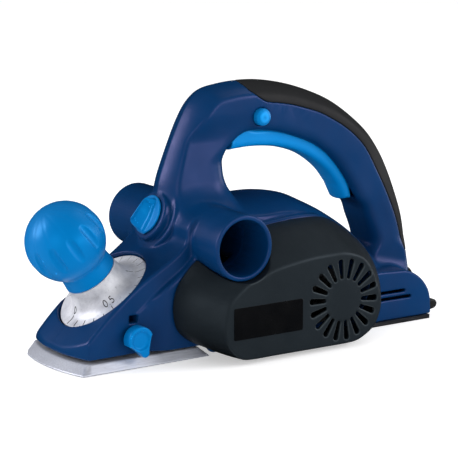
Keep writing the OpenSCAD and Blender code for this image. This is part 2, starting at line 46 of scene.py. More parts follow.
HAND = [[-57, 70], [-58.5, 88], [-59.5, 100], [-58.5, 113], [-52, 131.5], [-43.5, 151], [-34.5, 166.5], [-27, 174], [-21.5, 177], [-10.6, 179], [2, 180], [21, 179.4], [44, 175.2], [65, 168.5], [84, 160], [101, 148.5], [114.5, 136.5], [124.5, 123], [132, 109.5], [140, 91], [146.5, 72], [150.5, 49], [153.5, 32], [155.5, 18], [155.5, -30], [104, -30], [104, 50], [60, 80], [0, 90], [-20, 70]]
HOLE = [[-9.4, 135], [-11.2, 121], [-10.2, 113.5], [-6.6, 104.5], [-0.6, 97], [30, 94], [55, 84], [80, 66], [104, 50], [113, 54], [112.6, 62], [108.6, 73], [105.4, 81.6], [99.4, 88.4], [91, 102], [83, 113], [73.6, 123], [62, 131], [48, 137], [33, 141.8], [16.6, 144.8], [6.3, 145], [1.2, 143.4], [-3.6, 140.4]]
TRIG = [[-10.4, 136.8], [-9.6, 132], [-1, 132.3], [11, 132.8], [26, 132], [38, 130], [53.5, 125], [66, 118], [77, 109], [85, 99], [90.8, 87.6], [99.4, 87.6], [97.4, 99.2], [92.6, 109.3], [84.6, 119.4], [74.6, 129.2], [61.5, 137], [47.5, 143], [33.5, 146.4], [22, 147.2], [14, 147.6], [9.5, 149.5], [6.5, 152.2], [2.5, 152.6], [-1.4, 150.4], [-3.4, 145]]
PLAN_HALF = [[-141.2, 0], [-140.8, 10], [-139.6, 19], [-137.8, 27], [-135, 35.4], [-133.6, 38.4], [-115, 38.4], [-97, 38.2], [-88, 38.8], [-80, 42.6], [-73, 44.5], [94, 44.5], [101, 40.8], [145.5, 40.6], [150, 38.4], [153.4, 32], [155.4, 20], [155.5, 10], [155.5, 0]]
CLIP = [[-170, 9.2], [-49.5, 9.2], [-44.5, 4], [-42, 2.8], [170, 2.8], [170, 210], [-170, 210]]
ZONE = [[0, 190], [30, 190], [70, 182], [110, 160], [140, 128], [158, 90], [170, 46], [141.4, 46], [137.5, 57.6], [132.7, 71.8], [124.5, 90.2], [116.7, 104.3], [104.1, 125.3], [94.6, 135.2], [85.2, 142.4], [74.8, 148.6], [64, 154], [51.9, 158.1], [41.3, 161.2], [30.8, 163.3], [19.6, 165.1], [14.4, 167.6], [7.1, 173.1]]
FACE = [[59.8, 61.5], [52.6, 64.8], [44.3, 66.8], [32.5, 67], [18.6, 66.6], [3.7, 65], [-11.1, 62.6], [-23.4, 59], [-33.4, 55.1], [-41.2, 49.9], [-47.8, 43.8], [-51, 34.7], [-52.7, 25.5], [-51, 16.7], [-44.4, 8], [-35.5, 3.7], [-10.7, 3.3], [24, 3], [47.6, 2.9], [59.5, 6.1], [70.2, 13.6], [74.9, 24.9], [74.7, 32.9], [70.9, 44.3], [66, 54.5]]
BASE = [[60, 80], [48, 86.2], [31, 88], [17, 87.6], [1, 86.2], [-20, 83], [-40, 77.5], [-57, 67.5], [-63.6, 61.4], [-70.1, 53.2], [-73.2, 45.2], [-74, 34.6], [-71.4, 23.7], [-65.4, 16.8], [-57.6, 11.8], [-50, 8.2], [-38.2, 2.4], [-30, 0], [20, -4], [50, -5], [70, 0], [83, 12], [90, 26], [91.5, 38], [88, 51], [80, 63], [70, 72.4]]
SCREWS = [[-31, 134, 18], [112, 121, 18], [134, 58, 18], [136, 21, 40], [88, 50, 44.5], [-66, 50, 44.5]]
EARS = [[-30 + 21.5 * math.cos(math.radians(a)), 26 + 21.5 * math.sin(math.radians(a))] for a in (35, 90, 145)]
TX, TZ = -34.3, 78.5
KN = np.array([-0.6, 0.0, 0.8])
KF = np.array([-0.8, 0.0, -0.6])
KC = np.array([-101.0, 0.0, 44.0])
SA = math.radians(65)
SN = np.array([-math.sin(SA), 0.0, math.cos(SA)])
SU = np.array([math.cos(SA), 0.0, math.sin(SA)])


# ---------------------------------------------------------------- distance fields
def spline(points, n=6, corners=(), closed=True):
    """Centripetal curve through the points; points listed in corners stay sharp."""
    p = np.asarray(points, float)
    m = len(p)
    out = []
    for i in range(m if closed else m - 1):
        b, c = p[i], p[(i + 1) % m]
        a = 2 * b - c if (i in corners or (not closed and i == 0)) else p[i - 1]
        d = 2 * c - b if ((i + 1) % m in corners or (not closed and i == m - 2)) else p[(i + 2) % m]
        t0 = 0.0
        t1 = t0 + math.sqrt(np.linalg.norm(b - a)) + 1e-9
        t2 = t1 + math.sqrt(np.linalg.norm(c - b)) + 1e-9
        t3 = t2 + math.sqrt(np.linalg.norm(d - c)) + 1e-9
        for k in range(n):
            t = t1 + (t2 - t1) * k / n
            a1 = (t1 - t) / (t1 - t0) * a + (t - t0) / (t1 - t0) * b
            a2 = (t2 - t) / (t2 - t1) * b + (t - t1) / (t2 - t1) * c
            a3 = (t3 - t) / (t3 - t2) * c + (t - t2) / (t3 - t2) * d
            b1 = (t2 - t) / (t2 - t0) * a1 + (t - t0) / (t2 - t0) * a2
            b2 = (t3 - t) / (t3 - t1) * a2 + (t - t1) / (t3 - t1) * a3
            out.append((t2 - t) / (t2 - t1) * b1 + (t - t1) / (t2 - t1) * b2)
    if not closed:
        out.append(p[-1])
    return np.array(out)


def sdf2(poly, u, v):
    """Signed distance to a closed outline, negative inside."""
    p = np.asarray(poly, float)
    u, v = np.broadcast_arrays(u, v)
    d = np.full(u.shape, 1e12)
    s = np.ones(u.shape)
    for i in range(len(p)):
        a, b = p[i], p[i - 1]
        e = b - a
        q = e @ e
        if q < 1e-12:
            continue
        wu, wv = u - a[0], v - a[1]
        t = np.clip((wu * e[0] + wv * e[1]) / q, 0, 1)
        d = np.minimum(d, (wu - e[0] * t) ** 2 + (wv - e[1] * t) ** 2)
        c1, c2, c3 = v >= a[1], v < b[1], e[0] * wv > e[1] * wu
        s = np.where((c1 & c2 & c3) | ~(c1 | c2 | c3), -s, s)
    return (s * np.sqrt(d)).astype(np.float32)


def smin(a, b, k):
    h = np.maximum(k - np.abs(a - b), 0) / k
    return np.minimum(a, b) - h * h * k * 0.25


def smax(a, b, k):
    h = np.maximum(k - np.abs(a - b), 0) / k
    return np.maximum(a, b) + h * h * k * 0.25


def slabbed(d, y, w, r):
    """Outline field d swept to the half width w, with edges rounded to r."""
    q1, q2 = d + r, y - (w - r)
    return np.minimum(np.maximum(q1, q2), 0) + np.sqrt(np.maximum(q1, 0) ** 2 + np.maximum(q2, 0) ** 2) - r


def step(x, a, b):
    t = np.clip((x - a) / (b - a), 0, 1)
    return t * t * (3 - 2 * t)


def boxed(x, y, z, x0, x1, y0, y1, z0, z1):
    qx, qy, qz = np.abs(x - (x0 + x1) / 2) - (x1 - x0) / 2, np.abs(y - (y0 + y1) / 2) - (y1 - y0) / 2, np.abs(z - (z0 + z1) / 2) - (z1 - z0) / 2
    return np.maximum(np.maximum(qx, qy), qz)


class Grid:
    def __init__(self, x0, x1, y0, y1, z0, z1, h):
        self.h = h
        self.o = np.array([x0, y0, z0], float)
        n = [int(math.ceil((b - a) / h)) + 1 for a, b in ((x0, x1), (y0, y1), (z0, z1))]
        self.x = (x0 + h * np.arange(n[0], dtype=np.float32))[:, None, None]
        self.y = (y0 + h * np.arange(n[1], dtype=np.float32))[None, :, None]
        self.z = (z0 + h * np.arange(n[2], dtype=np.float32))[None, None, :]


def sample(f, p):
    """Value and slope of the field at grid positions p."""
    i = np.clip(np.floor(p).astype(np.int64), 0, np.array(f.shape) - 2)
    t = (p - i).astype(np.float32)
    nyz, nz = f.shape[1] * f.shape[2], f.shape[2]
    b = i[:, 0] * nyz + i[:, 1] * nz + i[:, 2]
    r = f.ravel()
    c = [[[r[b + a * nyz + e * nz + g] for g in (0, 1)] for e in (0, 1)] for a in (0, 1)]
    x, y, z = t[:, 0], t[:, 1], t[:, 2]
    cz = [[c[a][e][0] * (1 - z) + c[a][e][1] * z for e in (0, 1)] for a in (0, 1)]
    cy = [cz[a][0] * (1 - y) + cz[a][1] * y for a in (0, 1)]
    val = cy[0] * (1 - x) + cy[1] * x
    gx = cy[1] - cy[0]
    gy = (cz[0][1] - cz[0][0]) * (1 - x) + (cz[1][1] - cz[1][0]) * x
    dz = [[c[a][e][1] - c[a][e][0] for e in (0, 1)] for a in (0, 1)]
    gz = (dz[0][0] * (1 - y) + dz[0][1] * y) * (1 - x) + (dz[1][0] * (1 - y) + dz[1][1] * y) * x
    return val, np.stack([gx, gy, gz], 1)


def skin(g, f, relax=2):
    """Closed quad skin of the field's zero level."""
    f = np.ascontiguousarray(f, dtype=np.float32)
    f[0], f[-1] = np.maximum(f[0], 0.2), np.maximum(f[-1], 0.2)
    f[:, 0], f[:, -1] = np.maximum(f[:, 0], 0.2), np.maximum(f[:, -1], 0.2)
    f[:, :, 0], f[:, :, -1] = np.maximum(f[:, :, 0], 0.2), np.maximum(f[:, :, -1], 0.2)
    inside = f < 0
    nx, ny, nz = f.shape
    my, mz = ny - 1, nz - 1
    cells, places, quads = [], [], []

    def cell(i, j, k):
        return (i * my + j) * mz + k

    for axis in range(3):
        lo = [slice(None)] * 3
        hi = [slice(None)] * 3
        lo[axis], hi[axis] = slice(None, -1), slice(1, None)
        i, j, k = np.nonzero(inside[tuple(lo)] != inside[tuple(hi)])
        d = [0, 0, 0]
        d[axis] = 1
        f0, f1 = f[i, j, k], f[i + d[0], j + d[1], k + d[2]]
        t = f0 / (f0 - f1)
        pos = np.stack([i + d[0] * t, j + d[1] * t, k + d[2] * t], 1).astype(np.float32)
        if axis == 0:
            four = [cell(i, j - 1, k - 1), cell(i, j, k - 1), cell(i, j, k), cell(i, j - 1, k)]
        elif axis == 1:
            four = [cell(i - 1, j, k - 1), cell(i - 1, j, k), cell(i, j, k), cell(i, j, k - 1)]
        else:
            four = [cell(i - 1, j - 1, k), cell(i, j - 1, k), cell(i, j, k), cell(i - 1, j, k)]
        q = np.stack(four, 1)
        flip = f0 >= 0
        q[flip] = q[flip][:, ::-1]
        quads.append(q)
        cells.append(q.ravel())
        places.append(np.repeat(pos, 4, axis=0))
    q = np.concatenate(quads)
    cells, places = np.concatenate(cells), np.concatenate(places)
    used = np.zeros((nx - 1) * my * mz, bool)
    used[cells] = True
    ids = np.cumsum(used) - 1
    at = ids[cells]
    n = int(used.sum())
    count = np.bincount(at, minlength=n)
    v = np.stack([np.bincount(at, weights=places[:, a], minlength=n) / count for a in range(3)], 1)
    q = ids[q]
    e0 = np.concatenate([q[:, a] for a in range(4)] + [q[:, (a + 1) % 4] for a in range(4)])
    e1 = np.concatenate([q[:, (a + 1) % 4] for a in range(4)] + [q[:, a] for a in range(4)])
    deg = np.bincount(e0, minlength=n)
    for turn in range(relax + 1):
        if turn:
            mean = np.stack([np.bincount(e0, weights=v[e1, a], minlength=n) / deg for a in range(3)], 1)
            v = v + 0.5 * (mean - v)
        for _ in range(2):
            val, s = sample(f, v)
            m = (s * s).sum(1) + 1e-6
            move = s * (val / m)[:, None]
            size = np.sqrt((move * move).sum(1)) + 1e-9
            v = v - move * np.minimum(1, 0.6 / size)[:, None]
    return g.o + v * g.h, q


def put_mesh(name, v, faces):
    """Mesh object from millimetre points and equal-length faces."""
    faces = np.asarray(faces)
    v = np.asarray(v, float)
    me = bpy.data.meshes.new(name)
    k, m = faces.shape[1], len(faces)
    me.vertices.add(len(v))
    me.vertices.foreach_set("co", (v * 0.001).astype(np.float32).ravel())
    me.loops.add(k * m)
    me.loops.foreach_set("vertex_index", faces.astype(np.int32).ravel())
    me.polygons.add(m)
    me.polygons.foreach_set("loop_start", np.arange(0, k * m, k, dtype=np.int32))
    me.polygons.foreach_set("use_smooth", np.ones(m, bool))
    me.update(calc_edges=True)
    me.validate()
    o = bpy.data.objects.new(name, me)
    bpy.context.scene.collection.objects.link(o)
    return o


def apply_mods(o):
    dg = bpy.context.evaluated_depsgraph_get()
    me = bpy.data.meshes.new_from_object(o.evaluated_get(dg))
    o.modifiers.clear()
    old = o.data
    o.data = me
    me.name = o.name
    bpy.data.meshes.remove(old)
    o.data.polygons.foreach_set("use_smooth", np.ones(len(o.data.polygons), bool))


def thin_out(o, top):
    tris = sum(len(p.vertices) - 2 for p in o.data.polygons) if len(o.data.polygons) < 1000 else 2 * len(o.data.polygons)
    if tris > top:
        d = o.modifiers.new("thin", "DECIMATE")
        d.ratio = top / tris
        apply_mods(o)


def piece(o, mat, body, slot, *nodes):
    o.data.materials.clear()
    o.data.materials.append(mat)
    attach(o, body)
    if nodes:
        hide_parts(*nodes)
    return o


def field_piece(name, g, f, top, mat, body, slot, *nodes, turn=None, relax=2):
    v, q = skin(g, f, relax)
    if turn is not None:
        v = turn(v)
    o = put_mesh(name, v, q)
    thin_out(o, top)
    return piece(o, mat, body, slot, *nodes)


# ---------------------------------------------------------------- materials
def nodes_of(name):
    m = bpy.data.materials.new(name)
    m.use_nodes = True
    nt = m.node_tree
    nt.nodes.clear()
    out = nt.nodes.new("ShaderNodeOutputMaterial")
    b = nt.nodes.new("ShaderNodeBsdfPrincipled")
    nt.links.new(b.outputs[0], out.inputs[0])
    return m, nt, b


def noise(nt, co, scale, detail=3.0, rough=0.55, stretch=None):
    n = nt.nodes.new("ShaderNodeTexNoise")
    n.inputs["Scale"].default_value = scale
    n.inputs["Detail"].default_value = detail
    n.inputs["Roughness"].default_value = rough
    if stretch:
        mp = nt.nodes.new("ShaderNodeMapping")
        mp.inputs["Scale"].default_value = stretch
        nt.links.new(co, mp.inputs[0])
        nt.links.new(mp.outputs[0], n.inputs[0])
    else:
        nt.links.new(co, n.inputs[0])
    return n.outputs[0]


def ramp(nt, src, stops):
    r = nt.nodes.new("ShaderNodeValToRGB")
    e = r.color_ramp.elements
    while len(e) < len(stops):
        e.new(0.5)
    for k, (pos, col) in enumerate(stops):
        e[k].position = pos
        e[k].color = (*col, 1.0) if len(col) == 3 else col
    nt.links.new(src, r.inputs[0])
    return r.outputs[0]


def remap(nt, src, a, b, c, d):
    m = nt.nodes.new("ShaderNodeMapRange")
    for k, val in enumerate((a, b, c, d)):
        m.inputs[k + 1].default_value = val
    nt.links.new(src, m.inputs[0])
    return m.outputs[0]


def bumped(nt, b, height, strength, dist, before=None):
    n = nt.nodes.new("ShaderNodeBump")
    n.inputs["Strength"].default_value = strength
    n.inputs["Distance"].default_value = dist
    nt.links.new(height, n.inputs["Height"])
    if before is not None:
        nt.links.new(before, n.inputs["Normal"])
    nt.links.new(n.outputs[0], b.inputs["Normal"])
    return n.outputs[0]


def srgb(r, g, b):
    return tuple((c / 255 / 12.92) if c <= 10 else ((c / 255 + 0.055) / 1.055) ** 2.4 for c in (r, g, b))


def mixed(nt, fac, a, b):
    m = nt.nodes.new("ShaderNodeMix")
    m.data_type = "RGBA"
    if isinstance(fac, float):
        m.inputs[0].default_value = fac
    else:
        nt.links.new(fac, m.inputs[0])
    for k, c in ((6, a), (7, b)):
        if isinstance(c, tuple):
            m.inputs[k].default_value = (*c, 1.0)
        else:
            nt.links.new(c, m.inputs[k])
    return m.outputs[2]


def plastic(name, col, dark, rough, grain=2600, grain_d=0.00006, spec=0.5, tint=None, edge_wear_and_highlight=None, mottle=18.0, dust=None, rim=None):
    """Moulded plastic: slow colour drift, fine eroded grain, gloss that varies, and lighter convex edges that are
    rubbed wear on the black parts and a painted highlight on the cover and the blue parts.
    """
    m, nt, b = nodes_of(name)
    co = nt.nodes.new("ShaderNodeTexCoord").outputs["Object"]
    slow = noise(nt, co, mottle, 4.0)
    c = ramp(nt, slow, [(0.3, dark), (0.68, col)])
    if dust:
        fine = noise(nt, co, 320.0, 3.0)
        c = mixed(nt, remap(nt, fine, 0.55, 0.8, 0.0, 0.12), c, dust)
    # lighter colour on convex edges: rubbed wear on the black parts, painted highlight on the cover and the blue parts
    if edge_wear_and_highlight:
        geo = nt.nodes.new("ShaderNodeNewGeometry")
        edge = remap(nt, geo.outputs["Pointiness"], 0.52, 0.6, 0.0, 0.7)
        if rim:
            # painted edge highlight, kept to the part that stands out, along Y
            sep = nt.nodes.new("ShaderNodeSeparateXYZ")
            nt.links.new(co, sep.inputs[0])
            both = nt.nodes.new("ShaderNodeMath")
            both.operation = "MULTIPLY"
            nt.links.new(edge, both.inputs[0])
            nt.links.new(remap(nt, sep.outputs["Y"], rim[0], rim[1], 1.0, 0.0), both.inputs[1])
            edge = both.outputs[0]
        c = mixed(nt, edge, c, edge_wear_and_highlight)
    nt.links.new(c, b.inputs["Base Color"])
    nt.links.new(remap(nt, noise(nt, co, 55.0, 4.0), 0.3, 0.7, rough - 0.05, rough + 0.07), b.inputs["Roughness"])
    b.inputs["Specular IOR Level"].default_value = spec
    if tint:
        b.inputs["Specular Tint"].default_value = (*tint, 1.0)
    big = bumped(nt, b, noise(nt, co, 9.0, 2.0), 0.05, 0.002)
    bumped(nt, b, noise(nt, co, grain, 2.0), 0.5, grain_d, big)
    return m


def metal(name, col, dark, rough, stretch=(1, 1, 1), scale=900.0, spots=None, bump=0.00004, metallic=1.0, swirl=None):
    """Worked metal: tool lines along one direction, cloudy tone and small marks."""
    m, nt, b = nodes_of(name)
    co = nt.nodes.new("ShaderNodeTexCoord").outputs["Object"]
    if swirl is not None:
        mp = nt.nodes.new("ShaderNodeMapping")
        mp.inputs["Location"].default_value = swirl[0]
        mp.inputs["Rotation"].default_value = swirl[1]
        nt.links.new(co, mp.inputs[0])
        w = nt.nodes.new("ShaderNodeTexWave")
        w.wave_type = "RINGS"
        w.rings_direction = "Z"
        w.inputs["Scale"].default_value = scale
        w.inputs["Distortion"].default_value = 2.0
        w.inputs["Detail"].default_value = 3.0
        nt.links.new(mp.outputs[0], w.inputs[0])
        lines = w.outputs[1]
    else:
        lines = noise(nt, co, scale, 3.0, 0.6, stretch)
    cloud = noise(nt, co, 26.0, 5.0)
    c = mixed(nt, remap(nt, lines, 0.35, 0.65, 0.0, 1.0), dark, col)
    c = mixed(nt, remap(nt, cloud, 0.35, 0.7, 0.0, 0.45), c, dark)
    if spots:
        c = mixed(nt, remap(nt, noise(nt, co, 420.0, 2.0), 0.66, 0.74, 0.0, 0.55), c, spots)
    nt.links.new(c, b.inputs["Base Color"])
    b.inputs["Metallic"].default_value = metallic
    nt.links.new(remap(nt, lines, 0.3, 0.7, rough - 0.07, rough + 0.09), b.inputs["Roughness"])
    bumped(nt, b, lines, 0.5, bump)
    return m


NAVY = srgb(1, 49, 92)
NAVY_D = srgb(1, 43, 83)
M = {}
M["navy"] = plastic("navy_shell", NAVY, NAVY_D, 0.33, tint=(0.55, 0.46, 1.0), spec=0.3)
# the lighter blue on convex edges of the blue parts is partly rubbed wear and partly a painted highlight
M["accent"] = plastic("blue_accent", srgb(0, 108, 174), srgb(0, 102, 166), 0.38, grain=3200, grain_d=0.00003, spec=0.8, tint=(0.02, 0.45, 1.0), edge_wear_and_highlight=srgb(30, 150, 226))
# the trigger's blue is a brighter copy of the accent blue: painted light standing in for light lost in the handle
# opening
M["blade"] = plastic("blue_trigger_painted_light", srgb(0, 126, 200), srgb(0, 119, 190), 0.36, grain=3200, grain_d=0.00003, spec=0.8, tint=(0.1, 0.5, 1.0), edge_wear_and_highlight=srgb(30, 150, 226))
# the lighter edge colour on the cover is a painted highlight along the outer rim of its face
M["cover"] = plastic("charcoal_cover", srgb(21, 27, 32), srgb(17, 23, 28), 0.5, grain=2200, grain_d=0.0001, spec=0.3, tint=(0.7, 0.88, 1.0), edge_wear_and_highlight=srgb(90, 98, 100), dust=srgb(44, 50, 53), rim=(-0.0745, -0.0725))
M["grip"] = plastic("grip_soft", srgb(34, 36, 38), srgb(28, 30, 32), 0.66, grain=1500, grain_d=0.00012, spec=0.18, tint=(1.0, 0.9, 0.86), dust=srgb(50, 47, 46))
M["black"] = plastic("black_nylon", srgb(20, 21, 23), srgb(14, 15, 16), 0.5, grain=1900, grain_d=0.00008, spec=0.35, edge_wear_and_highlight=srgb(60, 60, 62))
M["vane"] = plastic("vane_nylon", srgb(12, 15, 22), srgb(8, 10, 15), 0.55, spec=0.25)
M["label"] = plastic("label_film", srgb(9, 10, 12), srgb(6, 7, 9), 0.22, grain=900, grain_d=0.00001, spec=0.4)
M["ink"] = plastic("dial_ink", srgb(20, 20, 23), srgb(34, 34, 36), 0.6, spec=0.2)
M["shoe"] = metal("shoe_alloy", srgb(206, 210, 220), srgb(182, 186, 197), 0.42, stretch=(0.06, 1, 1), scale=1300.0, spots=srgb(168, 170, 178), bump=0.00003, metallic=0.45)
M["sole"] = metal("sole_alloy", srgb(120, 122, 128), srgb(92, 94, 100), 0.36, stretch=(0.04, 1, 1), scale=1100.0, spots=srgb(110, 110, 116))
M["cast"] = metal("cast_alloy", srgb(164, 166, 170), srgb(140, 142, 146), 0.44, scale=700.0, spots=srgb(122, 122, 126), bump=0.00008, metallic=0.45)
M["steel"] = metal("ground_steel", srgb(190, 192, 196), srgb(156, 158, 163), 0.28, stretch=(1, 0.05, 1), scale=1400.0, metallic=0.6)
M["zinc"] = metal("zinc_plate", srgb(176, 178, 176), srgb(142, 144, 148), 0.32, scale=500.0, spots=srgb(116, 116, 114), metallic=0.5)
M["blackened"] = metal("blackened_steel", srgb(70, 71, 74), srgb(48, 49, 52), 0.42, stretch=(1, 0.08, 1), scale=900.0)
M["lamination"] = metal("lamination_stack", srgb(108, 109, 113), srgb(66, 67, 70), 0.45, stretch=(0.05, 1, 0.05), scale=1500.0, bump=0.0001)
M["copper"] = metal("copper_winding", srgb(190, 110, 62), srgb(120, 62, 34), 0.36, stretch=(1, 0.06, 1), scale=1300.0, bump=0.0002)
M["brass"] = metal("brass_sheet", srgb(205, 172, 96), srgb(160, 128, 62), 0.34, scale=700.0)
M["carbon"] = plastic("carbon_block", srgb(36, 36, 38), srgb(24, 24, 25), 0.62, spec=0.3)
M["belt"] = plastic("belt_compound", srgb(24, 24, 24), srgb(17, 17, 17), 0.62, grain=900, grain_d=0.0002, spec=0.3)
M["film"] = plastic("capacitor_film", srgb(206, 190, 148), srgb(190, 172, 130), 0.4, spec=0.45)
M["drum"] = metal("drum_alloy", srgb(196, 198, 202), srgb(150, 152, 157), 0.3, stretch=(1, 0.04, 1), scale=900.0, metallic=0.6)


def dial_material():
    m, nt, b = nodes_of("dial_foil")
    co = nt.nodes.new("ShaderNodeTexCoord").outputs["Object"]
    cloud = noise(nt, co, 60.0, 5.0, 0.62)
    c = ramp(nt, cloud, [(0.28, srgb(178, 180, 188)), (0.5, srgb(212, 214, 220)), (0.7, srgb(238, 239, 243))])
    scuff = remap(nt, noise(nt, co, 520.0, 4.0, 0.7), 0.58, 0.72, 0.0, 0.5)
    c = mixed(nt, scuff, c, srgb(138, 138, 146))
    nt.links.new(c, b.inputs["Base Color"])
    b.inputs["Metallic"].default_value = 0.4
    nt.links.new(remap(nt, cloud, 0.3, 0.7, 0.44, 0.6), b.inputs["Roughness"])
    bumped(nt, b, noise(nt, co, 1400.0, 3.0), 0.4, 0.00004)
    return m


M["dial"] = dial_material()


# ---------------------------------------------------------------- housing halves and grip
def hand_field(g, h2, hole2):
    ya = np.abs(g.y)
    base = 38.4 - 0.25 * (g.x - 113.7)
    flare = np.clip((base + 9 - g.z) / 9, 0, 1) ** 1.6 * step(g.x, 78, 92) * np.where(g.y > 0, step(hole2, -1, 15), 1.0)
    front = step(-g.x, -20, 0) * step(-g.z, -160, -140)
    side = 18 + 3.0 * flare + front * (0.13 * (g.x + 14) + 0.15 * (128 - g.z))
    ridge = (ya - 5.5 + 1.344 * h2) * 0.597
    f = smax(h2 + 0 * ya, ridge, 8.0)
    f = smax(f, ya - side, 2.2 + 7.0 * step(-g.z, -140, -108) * step(g.x, 70, 98) * step(g.z, 46, 58))
    return smax(f, -hole2 + 0 * ya, 8.0 + 10.0 * step(-g.x, -12, 2) * step(-g.z, -139, -125))


def housing(g, s):
    x, y, z = g.x, g.y, g.z
    ya = np.abs(y)
    xz = (x[:, 0, :], z[0, :, :])
    body2 = sdf2(spline(BODY, 5, {0, 1, 28}), *xz)[:, None, :]
    side2 = sdf2(spline(SIDE if s < 0 else BULGE, 5, {0, 1, 20 if s < 0 else 18}), *xz)[:, None, :]
    low2 = sdf2(spline(LOW, 5, {0, 1, 8}), *xz)[:, None, :]
    h2 = sdf2(spline(HAND, 5, {24, 25, 26, 29}), *xz)[:, None, :]
    hole2 = sdf2(spline(HOLE, 5), *xz)[:, None, :]
    plan = sdf2(spline(PLAN_HALF, 5, {0, 5, 18}, closed=False).tolist() + [[155.5, -60], [-141.2, -60]], x[:, :, 0], ya[:, :, 0])[:, :, None]
    clip2 = sdf2(CLIP, *xz)[:, None, :]
    w = 38 + 2.0 * step(x, -92, -60) - 1.6 * step(x, 84, 96)
    crown = 9.0 * (ya / 40.0) ** 1.8 * step(x, -60, -15) + 14.0 * (ya / 40.0) ** 1.2 * step(x, 88, 106)
    edge = np.where(y < 0, 2.4, 18.0)
    r = edge + (2.5 - edge) * step(x, -60, -15)
    f = slabbed(body2 + crown, ya, w, r)
    f = smin(f, slabbed(side2, ya, 44.5, 3.0), 1.2)
    f = smin(f, slabbed(low2, ya, 40.7, 1.5), 0.8)
    f = smax(f, plan, 3.0 - 1.8 * step(-x, 96, 112))
    hand = hand_field(g, h2, hole2)
    f = smin(f, hand, 15 - 10 * step(x, -24, 4) - 2.0 * step(x, 84, 104))
    # chip tube and its selector boss
    rt = np.hypot(x - TX, z - TZ)
    f = smin(f, smax(rt - 22.3 + 0 * ya, ya - 70.5, 1.4), 2.4)
    d = (x - TX) * SN[0] + (z - TZ) * SN[2]
    u = (x - TX) * SU[0] + (z - TZ) * SU[2]
    rs = np.sqrt(u * u + y * y)
    boss = smax(rs - 22.0, d - 28.5, 1.4)
    boss = smin(boss, smax(rs - 17.2, d - 33.8, 1.2), 0.9)
    boss = np.maximum(boss, 8 - d)
    f = smin(f, boss, 1.2)
    # dial pocket
    hk = (x - KC[0]) * KN[0] + (z - KC[2]) * KN[2]
    uk = (x - KC[0]) * KF[0] + (z - KC[2]) * KF[2]
    rk = np.sqrt(uk * uk + y * y)
    f = smax(f, -np.maximum(rk - 34.9, -2.4 - hk), 0.4)
    # seat of the soft grip
    zone2 = sdf2(spline(ZONE, 4, {0, 6, 7, 22}), *xz)[:, None, :]
    f = np.maximum(f, -np.maximum(zone2, -(hand + 2.0)))
    # hollow
    keep = rt - 22.3 + 0 * ya
    for px, pz, py in SCREWS:
        keep = np.minimum(keep, np.hypot(x - px, z - pz) - 6 + 0 * ya)
    if s < 0:
        keep = np.minimum(keep, boxed(x, y, z, -106.4, -93.4, -46, -25.7, 27.3, 38.7))
    f = smax(f, -smax(f + 2.7, -keep, 1.0), 0.8)
    f = smax(f, -(rt - np.where(ya > 40, 19.0, 18.6)), 1.2)
    f = np.maximum(f, -boxed(x, y, z, TX - 15, TX + 15, -33, 33, TZ - 30, TZ - 5))
    f = np.maximum(f, -np.maximum(rs - 4.1, -d))
    f = np.maximum(f, -np.maximum(rk - 5.1, np.abs(hk) - 20))
    f = smax(f, clip2, 1.4)
    # trigger slot over its whole swing
    slot = None
    for t in range(9):
        a = math.radians(t / 2)
        q = np.array(TRIG) - (3.2, 148.6)
        q = q @ np.array([[math.cos(a), math.sin(a)], [-math.sin(a), math.cos(a)]]) + (3.2, 148.6)
        e = sdf2(spline(q, 3), *xz)[:, None, :]
        slot = e if slot is None else np.minimum(slot, e)
    f = smax(f, -np.maximum(slot - 0.6, ya - 11.5), 0.5)
    f = np.maximum(f, -np.maximum(np.hypot(x - 3.2, z - 148.6) - 2.02, ya - 12.9))
    f = np.maximum(f, -(np.hypot(x + 30, z - 26) - 9 + 0 * ya))
    f = smax(f, -np.maximum(np.hypot(y, z - 22) - 7.1, 140 - x), 0.6)
    f = smax(f, -np.maximum(np.hypot(y, z - 22) - 9.9, np.abs(x - 144.05) - 6.05), 0.5)
    if s < 0:
        f = smax(f, -np.maximum(np.hypot(x - 14.3, z - 155.3) - 6.25, y + 2), 0.7)
        for x1, z0 in ((124.6, 22.4), (130.0, 17.6)):
            capsule = np.hypot(x - np.clip(x, 95, x1 - 0.9), z - (z0 + 0.85)) - 1.15
            f = np.maximum(f, -np.maximum(capsule + 0 * y, y + 30))
        f = np.maximum(f, -np.maximum(np.hypot(x + 100.3, z - 20.5) - 3.1, y + 19))
        f = smax(f, -boxed(x, y, z, -103.2, -96.8, -46, -28.3, 30.2, 35.4), 0.4)
        f = smax(f, -boxed(x, y, z, 118, 170, -37.3, -29.3, -1, 14.6), 0.8)
        f = np.maximum(f, -np.maximum(np.hypot(x - 43.4, z - 34.6) - 9, y + 30))
    else:
        for i in range(7):
            cz = np.clip(z, 62.6, 71.6)
            capsule = np.hypot(x - (21.7 + 7 * i), z - cz) - 1.8
            f = smax(f, -np.maximum(capsule + 0 * y, 33 - y), 0.8)
        for px, pz, py in SCREWS:
            f = smax(f, -np.maximum(np.hypot(x - px, z - pz) - 4.0, (py - 4) - y), 0.6)
            f = np.maximum(f, -np.maximum(np.hypot(x - px, z - pz) - 1.95, 4 - y))
        for px, pz in EARS:
            f = np.maximum(f, -np.maximum(np.hypot(x - px, z - pz) - 1.7, 36 - y))
    return f


